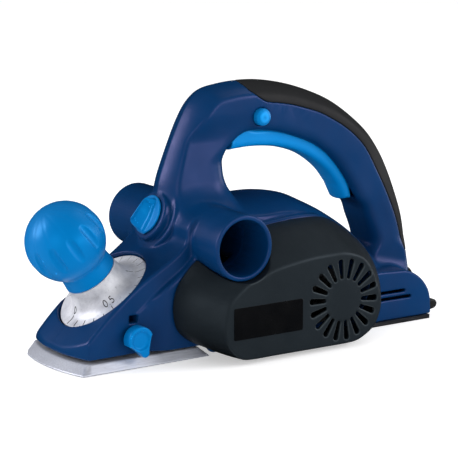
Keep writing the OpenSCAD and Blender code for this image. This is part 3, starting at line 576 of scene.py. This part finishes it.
def half(name, g, s, node):
    """One shell, cut flat on the parting plane so that the two meet in a hairline."""
    f = housing(g, s)
    v, q = skin(g, f, 2)
    o = put_mesh(name, v, q)
    thin_out(o, 184000)
    bm = bmesh.new()
    bm.from_mesh(o.data)
    cut = bmesh.ops.bisect_plane(bm, geom=bm.verts[:] + bm.edges[:] + bm.faces[:], dist=1e-7, plane_co=(0, s * 0.00002, 0), plane_no=(0, -s, 0), clear_outer=True)
    rim = [e for e in cut["geom_cut"] if isinstance(e, bmesh.types.BMEdge)]
    rim = [e for e in rim if len(e.link_faces) == 1]
    ring = list({w for e in rim for w in e.verts})
    at = {w: i for i, w in enumerate(ring)}
    flat = [Vector((w.co.x * 1000, w.co.z * 1000)) for w in ring]
    pts, _, tris, back, _, _ = delaunay_2d_cdt(flat, [(at[e.verts[0]], at[e.verts[1]]) for e in rim], [], 0, 1e-5)
    mids = np.array([[sum(pts[i][0] for i in t) / len(t), 0.0, sum(pts[i][1] for i in t) / len(t)] for t in tris])
    deep = sample(np.ascontiguousarray(f, dtype=np.float32), (mids - g.o) / g.h)[0]
    # inside the cut outline, counted edge by edge
    e0 = np.array([[flat[at[e.verts[0]]][0], flat[at[e.verts[0]]][1]] for e in rim])
    e1 = np.array([[flat[at[e.verts[1]]][0], flat[at[e.verts[1]]][1]] for e in rim])
    mx, mz = mids[:, :1], mids[:, 2:]
    rise = np.where(e1[:, 1] == e0[:, 1], 1.0, e1[:, 1] - e0[:, 1])
    hit = ((e0[:, 1] > mz) != (e1[:, 1] > mz)) & (mx < e0[:, 0] + (e1[:, 0] - e0[:, 0]) * (mz - e0[:, 1]) / rise)
    solid = ((hit.sum(1) % 2 == 1) & (deep < 0.3)) | (deep < -0.8)
    for t, keep in zip(tris, solid):
        if keep and all(back[i] for i in t):
            corner = [ring[back[i][0]] for i in t]
            if len(set(corner)) == 3 and bm.faces.get(corner) is None:
                bm.faces.new(corner if s > 0 else corner[::-1])
    for e in rim:
        e.smooth = False
    bm.to_mesh(o.data)
    bm.free()
    return piece(o, M["navy"], "planer_body", "navy_plastic", node)


H = 0.8
half("near_shell", Grid(-141, 158.5, -72, 3.0, 1.2, 182, H), -1, "left_shell")
half("far_shell", Grid(-141, 158.5, -3.0, 72, 1.2, 182, H), 1, "right_shell")


def grip_field(g):
    x, z = g.x, g.z
    xz = (x[:, 0, :], z[0, :, :])
    h2 = sdf2(spline(HAND, 5, {24, 25, 26, 29}), *xz)[:, None, :]
    hole2 = sdf2(spline(HOLE, 5), *xz)[:, None, :]
    zone2 = sdf2(spline(ZONE, 4, {0, 6, 7, 22}), *xz)[:, None, :]
    hand = hand_field(g, h2, hole2)
    f = smax(hand - 0.15, zone2 + 0.22, 0.9)
    f = np.maximum(f, -(hand + 1.85))
    for px, pz, py in SCREWS[1:3]:
        f = np.maximum(f, -np.maximum(np.hypot(x - px, z - pz) - 4.2, 6 - g.y))
    return f


gg = Grid(-3, 158.5, -27, 27, 44, 182, 0.62)
field_piece("handle_grip_skin", gg, grip_field(gg), 120000, M["grip"], "planer_body", "grip_rubber", "handle_grip")


# ---------------------------------------------------------------- belt cover and label
def cover_field(g):
    x, y, z = g.x, g.y, g.z
    xz = (x[:, 0, :], z[0, :, :])
    face2 = sdf2(spline(FACE, 4), *xz)[:, None, :]
    base2 = sdf2(spline(BASE, 4), *xz)[:, None, :]
    u = np.clip((-y - 44.6) / 31.4, 0, 1)
    s = u ** 1.55
    wall = base2 * (1 - s) + face2 * s
    f = smax(wall, -76 - y, 1.3)
    f = smax(f, 3.2 - z + 0 * y, 1.6)
    rt = np.hypot(x - TX, z - TZ)
    f = smax(f, 22.9 - rt + 0 * y, 0.8)
    inner = smax(smax(wall + 2.4, -73.5 - y, 1.5), 5.7 - z + 0 * y, 1.0)
    inner = smax(inner, 25.4 - rt + 0 * y, 1.0)
    f = np.maximum(f, -inner)
    f = np.maximum(f, y + 44.62)
    vx, vz = x - 43.4, z - 34.6
    rad = np.hypot(vx, vz)
    ang = np.degrees(np.arctan2(vz, vx)) + 4
    fold = np.radians(np.mod(ang + 10, 20) - 10)
    p, q = rad * np.cos(fold), rad * np.sin(fold)
    pc = np.clip(p, 16.1, 26.4)
    slot = np.hypot(p - pc, q) - (1.4 + 0.65 * (pc - 16.1) / 10.3)
    f = smax(f, -np.maximum(slot + 0 * y, y + 72), 0.7)
    for px in (12, 54):
        f = np.maximum(f, -np.maximum(np.hypot(x - px, y + 49.5) - 1.7, z - 8))
        f = np.maximum(f, -np.maximum(np.hypot(x - px, y + 49.5) - 3.3, z - 4.6))
    return f


gc = Grid(-76.21, 94, -77.13, -43.8, 1.83, 90, 0.55)
field_piece("belt_guard", gc, cover_field(gc), 183000, M["cover"], "planer_body", "cover_plastic", "belt_cover")


def label():
    x0, x1, z0, z1, r = -46.0, 9.0, 18.6, 40.3, 1.3
    ring = []
    for cx, cz, a0 in ((x1 - r, z1 - r, 0), (x0 + r, z1 - r, 90), (x0 + r, z0 + r, 180), (x1 - r, z0 + r, 270)):
        ring += [(cx + r * math.cos(math.radians(a0 + 15 * k)), cz + r * math.sin(math.radians(a0 + 15 * k))) for k in range(7)]
    ring = np.array(ring)
    mid = np.array([(x0 + x1) / 2, (z0 + z1) / 2])
    loops = []
    for y, inset in ((-76.0, 0.0), (-76.3, 0.0), (-76.38, 0.04), (-76.42, 0.12), (-76.43, 0.6)):
        p = ring + (mid - ring) * 0
        n = (ring - mid)
        n = n / np.linalg.norm(n, axis=1)[:, None]
        p = ring - n * inset
        loops.append(np.stack([p[:, 0], np.full(len(p), y), p[:, 1]], 1))
    bm = bmesh.new()
    rows = [[bm.verts.new(Vector(v) * 0.001) for v in lp] for lp in loops]
    n = len(ring)
    for a, b in zip(rows, rows[1:]):
        for i in range(n):
            bm.faces.new((a[i], a[(i + 1) % n], b[(i + 1) % n], b[i]))
    bm.faces.new(rows[-1])
    bm.faces.new(rows[0][::-1])
    bmesh.ops.recalc_face_normals(bm, faces=bm.faces)
    me = bpy.data.meshes.new("label_film")
    bm.to_mesh(me)
    bm.free()
    o = bpy.data.objects.new("label_film", me)
    bpy.context.scene.collection.objects.link(o)
    return piece(o, M["label"], "planer_body", "label_black", "label_plate")


label()


# ---------------------------------------------------------------- depth knob and dial
def from_knob(v):
    n = np.array([0.0, -1.0, 0.0])
    return KC + v[:, :1] * KF + v[:, 1:2] * n + v[:, 2:] * KN


def knob_field(g):
    u, v, h = g.x, g.y, g.z
    r = np.hypot(u, v)
    q = h - 47.6
    rr = np.sqrt(r * r + q * q)
    f = rr - 27.0
    # twelve finger flutes, each a pointed hollow along a meridian
    along = (np.degrees(np.arctan2(q, r)) - 5.5) * (27.0 * math.pi / 180)
    deep = 1.9 * np.clip(1 - (along / 10.4) ** 2, 0, 1) ** 0.75
    fold = np.radians(np.mod(np.degrees(np.arctan2(v, u)) - 78 + 15, 30) - 15)
    f = smax(f, 3.6 - np.sqrt((rr - 30.6 + deep) ** 2 + (r * np.sin(fold)) ** 2), 0.4)
    # collar below the ball
    collar = smax(r - 17.6 - 0.105 * (27.0 - h), h - 40.0, 1.0)
    f = smin(f, collar, 1.5)
    f = smax(f, 16.9 - h + 0 * r, 0.9)
    return np.maximum(f, -np.maximum(r - 5.05, h - 39.2))


gk = Grid(-29, 29, -29, 29, 15, 76, 0.5)
field_piece("depth_ball", gk, knob_field(gk), 110000, M["accent"], "depth_setter", "accent_blue", "depth_knob", turn=from_knob)

DIAL = [(5.03, -1.2), (33.2, -1.2), (33.75, -1.0), (34.0, -0.5), (34.0, 0.2), (33.85, 0.6), (33.4, 0.9), (31.5, 1.05), (29.5, 1.15), (27.6, 1.45), (26.0, 2.05), (24.4, 3.0), (22.9, 4.2), (21.7, 5.6), (20.7, 7.2), (19.9, 9.0), (19.3, 11.2), (18.95, 13.4), (18.75, 15.2), (18.65, 16.75), (5.03, 16.75)]


def lathe(name, prof, n, turn, sharp=()):
    p = np.asarray(prof, float)
    a = np.linspace(0, 2 * math.pi, n, endpoint=False)
    v = np.stack([np.outer(np.cos(a), p[:, 0]), np.outer(np.sin(a), p[:, 0]), np.repeat(p[None, :, 1], n, 0)], 2).reshape(-1, 3)
    m = len(p)
    f = []
    for i in range(n):
        j = (i + 1) % n
        for k in range(m):
            l = (k + 1) % m
            f.append((i * m + k, j * m + k, j * m + l, i * m + l))
    o = put_mesh(name, turn(v), f)
    bm = bmesh.new()
    bm.from_mesh(o.data)
    bmesh.ops.recalc_face_normals(bm, faces=bm.faces)
    for e in bm.edges:
        if len(e.link_faces) == 2 and e.calc_face_angle(0) > math.radians(40):
            e.smooth = False
    bm.to_mesh(o.data)
    bm.free()
    return o


dial_curve = [DIAL[0], DIAL[1]] + [tuple(p) for p in spline(DIAL[1:20], 3, closed=False)[1:]] + [DIAL[20]]
piece(lathe("dial_cone", dial_curve, 192, from_knob), M["dial"], "depth_setter", "dial_silver", "depth_dial")

cone_r = np.array([p[0] for p in spline(DIAL[6:20], 6, closed=False)])
cone_h = np.array([p[1] for p in spline(DIAL[6:20], 6, closed=False)])
cone_s = np.concatenate([[0], np.cumsum(np.hypot(np.diff(cone_r), np.diff(cone_h)))])


def on_cone(az, s, lift):
    """Point on the dial's face: az in degrees from the front, s along the slope from the rim."""
    r, h = np.interp(s, cone_s, cone_r), np.interp(s, cone_s, cone_h)
    dr = np.interp(s + 0.2, cone_s, cone_r) - np.interp(s - 0.2, cone_s, cone_r)
    dh = np.interp(s + 0.2, cone_s, cone_h) - np.interp(s - 0.2, cone_s, cone_h)
    ln = np.hypot(dr, dh) + 1e-9
    r, h = r + lift * dh / ln, h - lift * dr / ln
    a = math.radians(az)
    return np.array([r * math.cos(a), r * math.sin(a), h])


def stroke(path, width, out_v, out_f):
    """A thin raised inked line along (az, s) points on the dial."""
    pts = []
    for (a0, s0), (a1, s1) in zip(path, path[1:]):
        k = max(2, int(max(abs(s1 - s0) / 0.5, abs(a1 - a0) / 1.2)))
        pts += [(a0 + (a1 - a0) * i / k, s0 + (s1 - s0) * i / k) for i in range(k)]
    pts.append(path[-1])
    pts = np.array(pts)
    rad = np.interp(pts[:, 1], cone_s, cone_r)
    flat = np.stack([np.radians(pts[:, 0]) * rad, pts[:, 1]], 1)
    tan = np.gradient(flat, axis=0)
    tan /= np.linalg.norm(tan, axis=1)[:, None] + 1e-9
    nrm = np.stack([-tan[:, 1], tan[:, 0]], 1) * width / 2
    base = len(out_v)
    for i, (az, s) in enumerate(pts):
        for sgn, lift in ((1, -0.05), (1, 0.06), (-1, 0.06), (-1, -0.05)):
            da = math.degrees(nrm[i, 0] * sgn / rad[i])
            out_v.append(on_cone(az + da, s + nrm[i, 1] * sgn, lift))
    n = len(pts)
    for i in range(n - 1):
        a, b = base + 4 * i, base + 4 * (i + 1)
        for k in range(4):
            l = (k + 1) % 4
            out_f.append((a + k, b + k, b + l, a + l))
    out_f.append((base, base + 1, base + 2, base + 3))
    e = base + 4 * (n - 1)
    out_f.append((e + 3, e + 2, e + 1, e))


def oval(cx, cy, rx, ry, n=20):
    return [(cx + rx * math.cos(2 * math.pi * k / n), cy + ry * math.sin(2 * math.pi * k / n)) for k in range(n + 1)]


GLYPH = {
    "0": [oval(1.3, 2.5, 1.15, 2.3)],
    "1": [[(0.5, 3.7), (1.6, 4.8), (1.6, 0.1)]],
    "2": [[(0.3, 3.7), (0.6, 4.5), (1.3, 4.8), (2.1, 4.4), (2.3, 3.6), (1.9, 2.6), (0.3, 0.2), (2.4, 0.2)]],
    "5": [[(2.2, 4.7), (0.7, 4.7), (0.5, 2.8), (1.3, 3.05), (2.1, 2.6), (2.4, 1.6), (2.0, 0.6), (1.2, 0.15), (0.3, 0.5)]],
    ".": [[(0.35, 0.1), (0.35, 0.55)]],
}
ADVANCE = {"0": 3.3, "1": 2.9, "2": 3.3, "5": 3.3, ".": 1.5}


def dial_marks():
    v, f = [], []
    for k in range(21):
        az = 15.0 * k - 4.5
        main = k % 5 == 0
        stroke([(az, 0.2), (az, 7.6 if main else 5.2)], 0.72 if main else 0.64, v, f)
    size = 1.04
    for value, text in ((0, "0"), (1, "0.5"), (2, "1"), (3, "1.5"), (4, "2")):
        az0 = 75.0 * value - 4.5
        x = -(sum(ADVANCE[c] for c in text) - 0.6) / 2
        for c in text:
            for line in GLYPH[c]:
                path = []
                for px, py in line:
                    at = 8.8 + py * size
                    path.append((az0 + math.degrees((x + px) * size / np.interp(11.0, cone_s, cone_r)), at))
                stroke(path, 0.68, v, f)
            x += ADVANCE[c]
    return put_mesh("dial_scale", from_knob(np.array(v)), f)


marks = dial_marks()
piece(marks, M["ink"], "depth_setter", "dial_silver")


# ---------------------------------------------------------------- trigger, lock button, selector, side clamp
def trigger_field(g):
    x, y, z = g.x, g.y, g.z
    e = sdf2(spline(TRIG, 4, {9, 10, 11}), x[:, 0, :], z[0, :, :])[:, None, :]
    f = slabbed(e + 0.016 * y * y, np.abs(y), 11.0, 3.6)
    return np.maximum(f, -(np.hypot(x - 3.2, z - 148.6) - 2.06 + 0 * y))


gt = Grid(-5, 99, -12, 12, 86, 154, 0.5)
field_piece("trigger_blade", gt, trigger_field(gt), 90000, M["blade"], "trigger_lever", "accent_blue", "trigger")


def at_lock(v):
    return np.array([14.3, 0, 155.3]) + np.stack([v[:, 0], -v[:, 2], v[:, 1]], 1)


LOCK = [(0.001, 22.5), (2.5, 22.4), (4.2, 22.1), (5.2, 21.6), (5.75, 20.9), (6.0, 20.0), (6.0, 8.0), (5.6, 7.5), (3.4, 7.5), (3.4, 13.6), (3.0, 14.0), (0.001, 14.0)]
piece(lathe("lock_cap", LOCK, 64, at_lock), M["accent"], "lock_off", "accent_blue", "lock_button")


def from_selector(v):
    c = np.array([TX, 0, TZ])
    return c + v[:, :1] * SU + v[:, 1:2] * np.array([0.0, -1.0, 0.0]) + v[:, 2:] * SN


def lever_field(g):
    u, v, d = g.x, g.y, g.z
    disc = smax(np.hypot(u, v) - 13.5 + 0 * d, np.abs(d - 35.0) - 0.8, 0.7)
    # slanting fin with its crest along one edge, narrow end up
    ca, sa = math.cos(math.radians(23.8)), math.sin(math.radians(23.8))
    t, w = u * ca + v * sa, v * ca - u * sa + 1.35
    fall = 44.6 - d
    wide = np.interp(t, [-10.5, 0.8, 10.5], [10.6, 8.2, 3.0])
    near = (w - wide * fall / 8.4) / np.sqrt(1 + (wide / 8.4) ** 2)
    far = (-w - 2.6 * fall / 8.4) * 0.94
    f = smax(near, far, 1.0)
    f = smax(f, (-t - 10.8 - 1.2 * fall / 8.4) * 0.97, 3.6)
    f = smax(f, (t - 10.8 - 1.0 * fall / 8.4) * 0.98, 2.4)
    f = smax(f, 35.0 - d + 0 * u, 0.3)
    dish = np.maximum(np.maximum(-near - 0.7, np.abs(t + 0.6) - 9.4 + 0.1 * fall), np.maximum(1.2 - fall, fall - 7.2))
    f = smax(f, -dish, 0.5)
    f = smin(f, disc, 0.6)
    return np.maximum(f, -np.maximum(np.hypot(u, v) - 4.03, d - 37.6))


gs = Grid(-16, 17, -15, 15, 33, 46, 0.33)
field_piece("selector_wing", gs, lever_field(gs), 60000, M["accent"], "chip_selector", "accent_blue", "selector_lever", turn=from_selector)


def clamp_field(g):
    x, y, z = g.x + 100.3, g.y, g.z - 20.5
    ca = math.atan2(9.0 - 20.5, -96 + 100.3)
    t = x * math.cos(ca) + z * math.sin(ca)
    w = -x * math.sin(ca) + z * math.cos(ca)
    tc = np.clip(t / 9.6, 0, 1)
    outline = np.hypot(t - 9.6 * tc, w) - (9.3 - 6.3 * tc ** 0.8)
    f = slabbed(outline + 0 * y, np.abs(y + 44.2), 4.2, 1.1)
    dish = smax((np.hypot(x, z) - 6.9 + 0.9 * (y + 48.4)) * 0.74, y + 46.8, 0.8)
    f = smax(f, -dish, 0.4)
    return np.maximum(f, -np.maximum(np.hypot(x, z) - 3.03, -46.2 - y))


gq = Grid(-111, -89, -50, -39, 5, 31, 0.33)
field_piece("clamp_wing", gq, clamp_field(gq), 50000, M["accent"], "guide_clamp", "accent_blue", "guide_knob")


# ---------------------------------------------------------------- shoe, foot, gland, bearing cap
def shoe_field(g):
    x, y, z = g.x, g.y, g.z
    ya = np.abs(y)
    arc = [[-148.2 + 118 * (1 - math.cos(math.radians(a))), 118 * math.sin(math.radians(a))] for a in (0, 2, 4, 6, 8, 10, 12, 14, 16, 18, 19.6)]
    low = [[-43.6, -60]] + [[-43.6, 41.8], [-140.7, 41.8]] + arc[::-1] + [[-148.2, -60]]
    soft = [[-43.6, -60]] + [[-43.6, 41.8], [-131, 41.8], [-134.4, 41.2], [-137.4, 39.6], [-139.8, 37], [-141.6, 33.6]] + arc[7::-1] + [[-148.2, -60]]
    high = [[-50, -60]] + [[-50, 38.3], [-133.6, 38.3], [-135.2, 35], [-137.9, 27], [-139.9, 18], [-141, 9], [-141.3, 0], [-141.3, -60]]
    b2 = np.where(y[:, :, 0] < 0, sdf2(low, x[:, :, 0], ya[:, :, 0]), sdf2(soft, x[:, :, 0], ya[:, :, 0]))[:, :, None]
    t2 = sdf2(high, x[:, :, 0], ya[:, :, 0])[:, :, None]
    k = np.clip((z - 1.0) / 5.8, 0, 1)
    f = smax(b2 * (1 - k) + t2 * k, z - 6.8, 0.6)
    f = smax(f, -z + 0 * ya, 0.5)
    hk = (x - KC[0]) * KN[0] + (z - KC[2]) * KN[2]
    uk = (x - KC[0]) * KF[0] + (z - KC[2]) * KF[2]
    rk = np.sqrt(uk * uk + y * y)
    f = smin(f, smax(rk - 9, np.abs(hk + 33) - 13, 0.8), 1.5)
    for yy in (-18.5, 18.5):
        post = smax(np.sqrt(uk * uk + (y - yy) ** 2) - 4, np.abs(hk + 29.5) - 16.5, 0.8)
        f = smin(f, post, 1.0)
    f = np.maximum(f, -np.maximum(rk - 5.06, np.abs(hk + 10.5) - 30))
    # spring seat, deep enough for the full setting
    f = np.maximum(f, -np.maximum(np.abs(rk - 7.0) - 1.05, -23.6 - hk))
    f = smax(f, -z + 0 * ya, 0.5)
    groove = (ya - 3 + z) * 0.7071
    return smax(f, -smax(groove, np.maximum(x + 35, -140.0 - x), 0.3), 0.4)


gz = Grid(-149.6, -41, -43.2, 43.2, -1.2, 30, 0.6)
field_piece("shoe_casting", gz, shoe_field(gz), 150000, M["shoe"], "front_sole", "cast_alu", "front_shoe")


def foot_field(g):
    x, y, z = g.x, g.y, g.z
    e = sdf2(spline([[128, 13], [150, 12.4], [155.6, 11.2], [157.2, 9], [156.6, 6.4], [154, 4.8], [128, 5], [124.6, 7], [124, 9], [124.6, 11]], 5), x[:, 0, :], z[0, :, :])[:, None, :]
    f = slabbed(e, np.abs(y + 33.3), 3.1, 1.3)
    for k in range(4):
        f = smax(f, -(np.hypot(x - (137 + 4 * k), z - 13.6) - 1.4 + 0 * y), 0.5)
    return np.maximum(f, -(np.hypot(x - 128, z - 9) - 2.06 + 0 * y))


gf = Grid(122.6, 158.4, -37.4, -29.2, 3.8, 14.4, 0.3)
field_piece("rest_foot", gf, foot_field(gf), 50000, M["black"], "foot", "black_plastic", "parking_foot")


def at_gland(v):
    return np.array([0, 0, 22]) + np.stack([v[:, 2], v[:, 0], v[:, 1]], 1)


GLAND = [(3.7, 143.0), (6.6, 143.0), (7.0, 143.4), (7.0, 146.0), (9.0, 146.0), (9.5, 146.5), (9.5, 149.3), (9.0, 149.8), (7.4, 149.8), (7.0, 150.1), (7.0, 151.0), (6.3, 151.3), (6.3, 152.0), (6.9, 152.3), (6.9, 153.3), (6.2, 153.6), (6.2, 154.3), (6.7, 154.6), (6.7, 155.6), (6.1, 155.9), (6.1, 156.5), (6.5, 156.8), (6.4, 157.9), (6.0, 158.3), (4.1, 158.3), (3.7, 157.9)]
piece(lathe("cord_gland", GLAND, 72, at_gland), M["black"], "planer_body", "black_plastic", "cable_gland")


def cap_field(g):
    x, y, z = g.x, g.y, g.z
    f = smax(np.hypot(x + 30, z - 26) - 17.5 + 0 * y, y - 55.5, 3.0)
    for px, pz in EARS:
        f = smin(f, smax(np.hypot(x - px, z - pz) - 5 + 0 * y, y - 49, 1.0), 2.0)
    f = smax(f, -(np.maximum(np.hypot(x + 30, z - 26) - 9.0, 54.7 - y)), 0.5)
    f = np.maximum(f, 44.6 - y)
    f = np.maximum(f, -np.maximum(np.hypot(x + 30, z - 26) - 13.05, y - 53.6))
    for px, pz in EARS:
        f = np.maximum(f, -(np.hypot(x - px, z - pz) - 1.7 + 0 * y))
    return f


gb = Grid(-54, -6, 43.6, 56.6, 7, 54, 0.42)
field_piece("bearing_dome", gb, cap_field(gb), 60000, M["cast"], "planer_body", "cast_alu", "bearing_cap")

# ---------------------------------------------------------------- finishes of the pieces kept from the construction
FINISH = {
    "zinc": ("cover_screws", "housing_screws", "sole_screws", "cap_screws", "bar_screws", "drum_nut"),
    "sole": ("rear_sole",),
    "blackened": ("bearing_plate", "knife_bars"),
    "steel": ("drum_bearings", "motor_bearings", "guide_bushes", "foot_pin", "trigger_pin", "depth_clip", "drum_shaft", "motor_shaft", "depth_screw", "guide_stud", "depth_spring", "knives"),
    "black": ("end_bracket", "switch_body", "chip_chute", "cooling_fan", "drum_pulley", "motor_pulley"),
    "lamination": ("stator_core", "armature_core"),
    "copper": ("field_windings", "armature_coils", "commutator"),
    "brass": ("brush_holders",),
    "carbon": ("carbon_brushes",),
    "belt": ("drive_belt",),
    "film": ("suppressor",),
    "accent": ("switch_plunger",),
    "vane": ("selector_vane",),
    "drum": ("drum_body",),
}
for key, names in FINISH.items():
    for n in names:
        slots = NODE[n].material_slots
        for sl in slots:
            sl.material = M[key]

# ---------------------------------------------------------------- floor, light, camera
bm = bmesh.new()
S = 6.0
rows = []
for k in range(33):
    t = k / 32
    if t < 0.6:
        p = (-S + t / 0.6 * (2.4 * S - 1.2), 0.0)
    else:
        a = (t - 0.6) / 0.4 * math.pi / 2
        p = (1.4 * S - 1.2 + 1.2 * math.sin(a), 1.2 - 1.2 * math.cos(a))
    rows.append([bm.verts.new((x, p[0], p[1] - 0.0002)) for x in (-S * 2, S * 2)])
for a, b in zip(rows, rows[1:]):
    bm.faces.new((a[0], a[1], b[1], b[0]))
me = bpy.data.meshes.new("floor")
bm.to_mesh(me)
bm.free()
for p in me.polygons:
    p.use_smooth = True
floor = bpy.data.objects.new("floor", me)
bpy.context.scene.collection.objects.link(floor)
fm, fnt, fb = nodes_of("floor_paint")
fco = fnt.nodes.new("ShaderNodeTexCoord").outputs["Object"]
fnt.links.new(ramp(fnt, noise(fnt, fco, 2.0, 3.0), [(0.3, (0.86, 0.86, 0.865)), (0.7, (0.88, 0.88, 0.88))]), fb.inputs["Base Color"])
fb.inputs["Roughness"].default_value = 0.9
fb.inputs["Emission Color"].default_value = (1.0, 1.0, 1.0, 1.0)
fb.inputs["Emission Strength"].default_value = 0.42
fb.inputs["Specular IOR Level"].default_value = 0.1
me.materials.append(fm)
floor.visible_glossy = False

world = bpy.data.worlds.new("studio")
bpy.context.scene.world = world
world.use_nodes = True
bg = world.node_tree.nodes["Background"]
bg.inputs[0].default_value = (1.0, 1.0, 1.0, 1.0)
bg.inputs[1].default_value = 0.66
world.cycles_visibility.glossy = False


def area(name, loc, to, size, power, col=(1, 1, 1)):
    li = bpy.data.lights.new(name, "AREA")
    li.shape = "RECTANGLE"
    li.size, li.size_y = size
    li.energy = power
    li.color = col
    o = bpy.data.objects.new(name, li)
    bpy.context.scene.collection.objects.link(o)
    o.location = loc
    o.rotation_euler = (Vector(to) - Vector(loc)).to_track_quat("-Z", "Y").to_euler()
    return o


mid = (0.0, 0.0, 0.08)
area("left_back", (-1.12, 0.62, 0.62), mid, (0.45, 0.7), 11, (1.0, 0.98, 1.0))
area("left_front", (-1.3, -0.9, 0.35), mid, (0.7, 0.6), 5.0, (1.0, 0.97, 1.0))
area("right_front", (1.0, -0.95, 0.6), mid, (0.6, 0.6), 9, (0.98, 0.97, 1.0))
area("right_side", (1.35, -0.25, 0.2), mid, (0.5, 0.5), 3.0)
area("top_right", (0.75, 0.05, 1.2), mid, (0.5, 0.5), 1.0)
area("front", (0.4, -1.75, 0.42), mid, (0.8, 0.45), 6)

cam = bpy.data.cameras.new("view")
cam.sensor_width = 36.0
cam.lens = 158.32
cam.clip_start = 0.05
cam.clip_end = 60
co = bpy.data.objects.new("view", cam)
bpy.context.scene.collection.objects.link(co)
co.location = (-0.75018, -1.1462, 0.36503)
co.rotation_euler = Vector((0.5356, 0.8188, -0.2069)).to_track_quat("-Z", "Y").to_euler()
bpy.context.scene.camera = co
bpy.context.scene.view_settings.view_transform = "Standard"
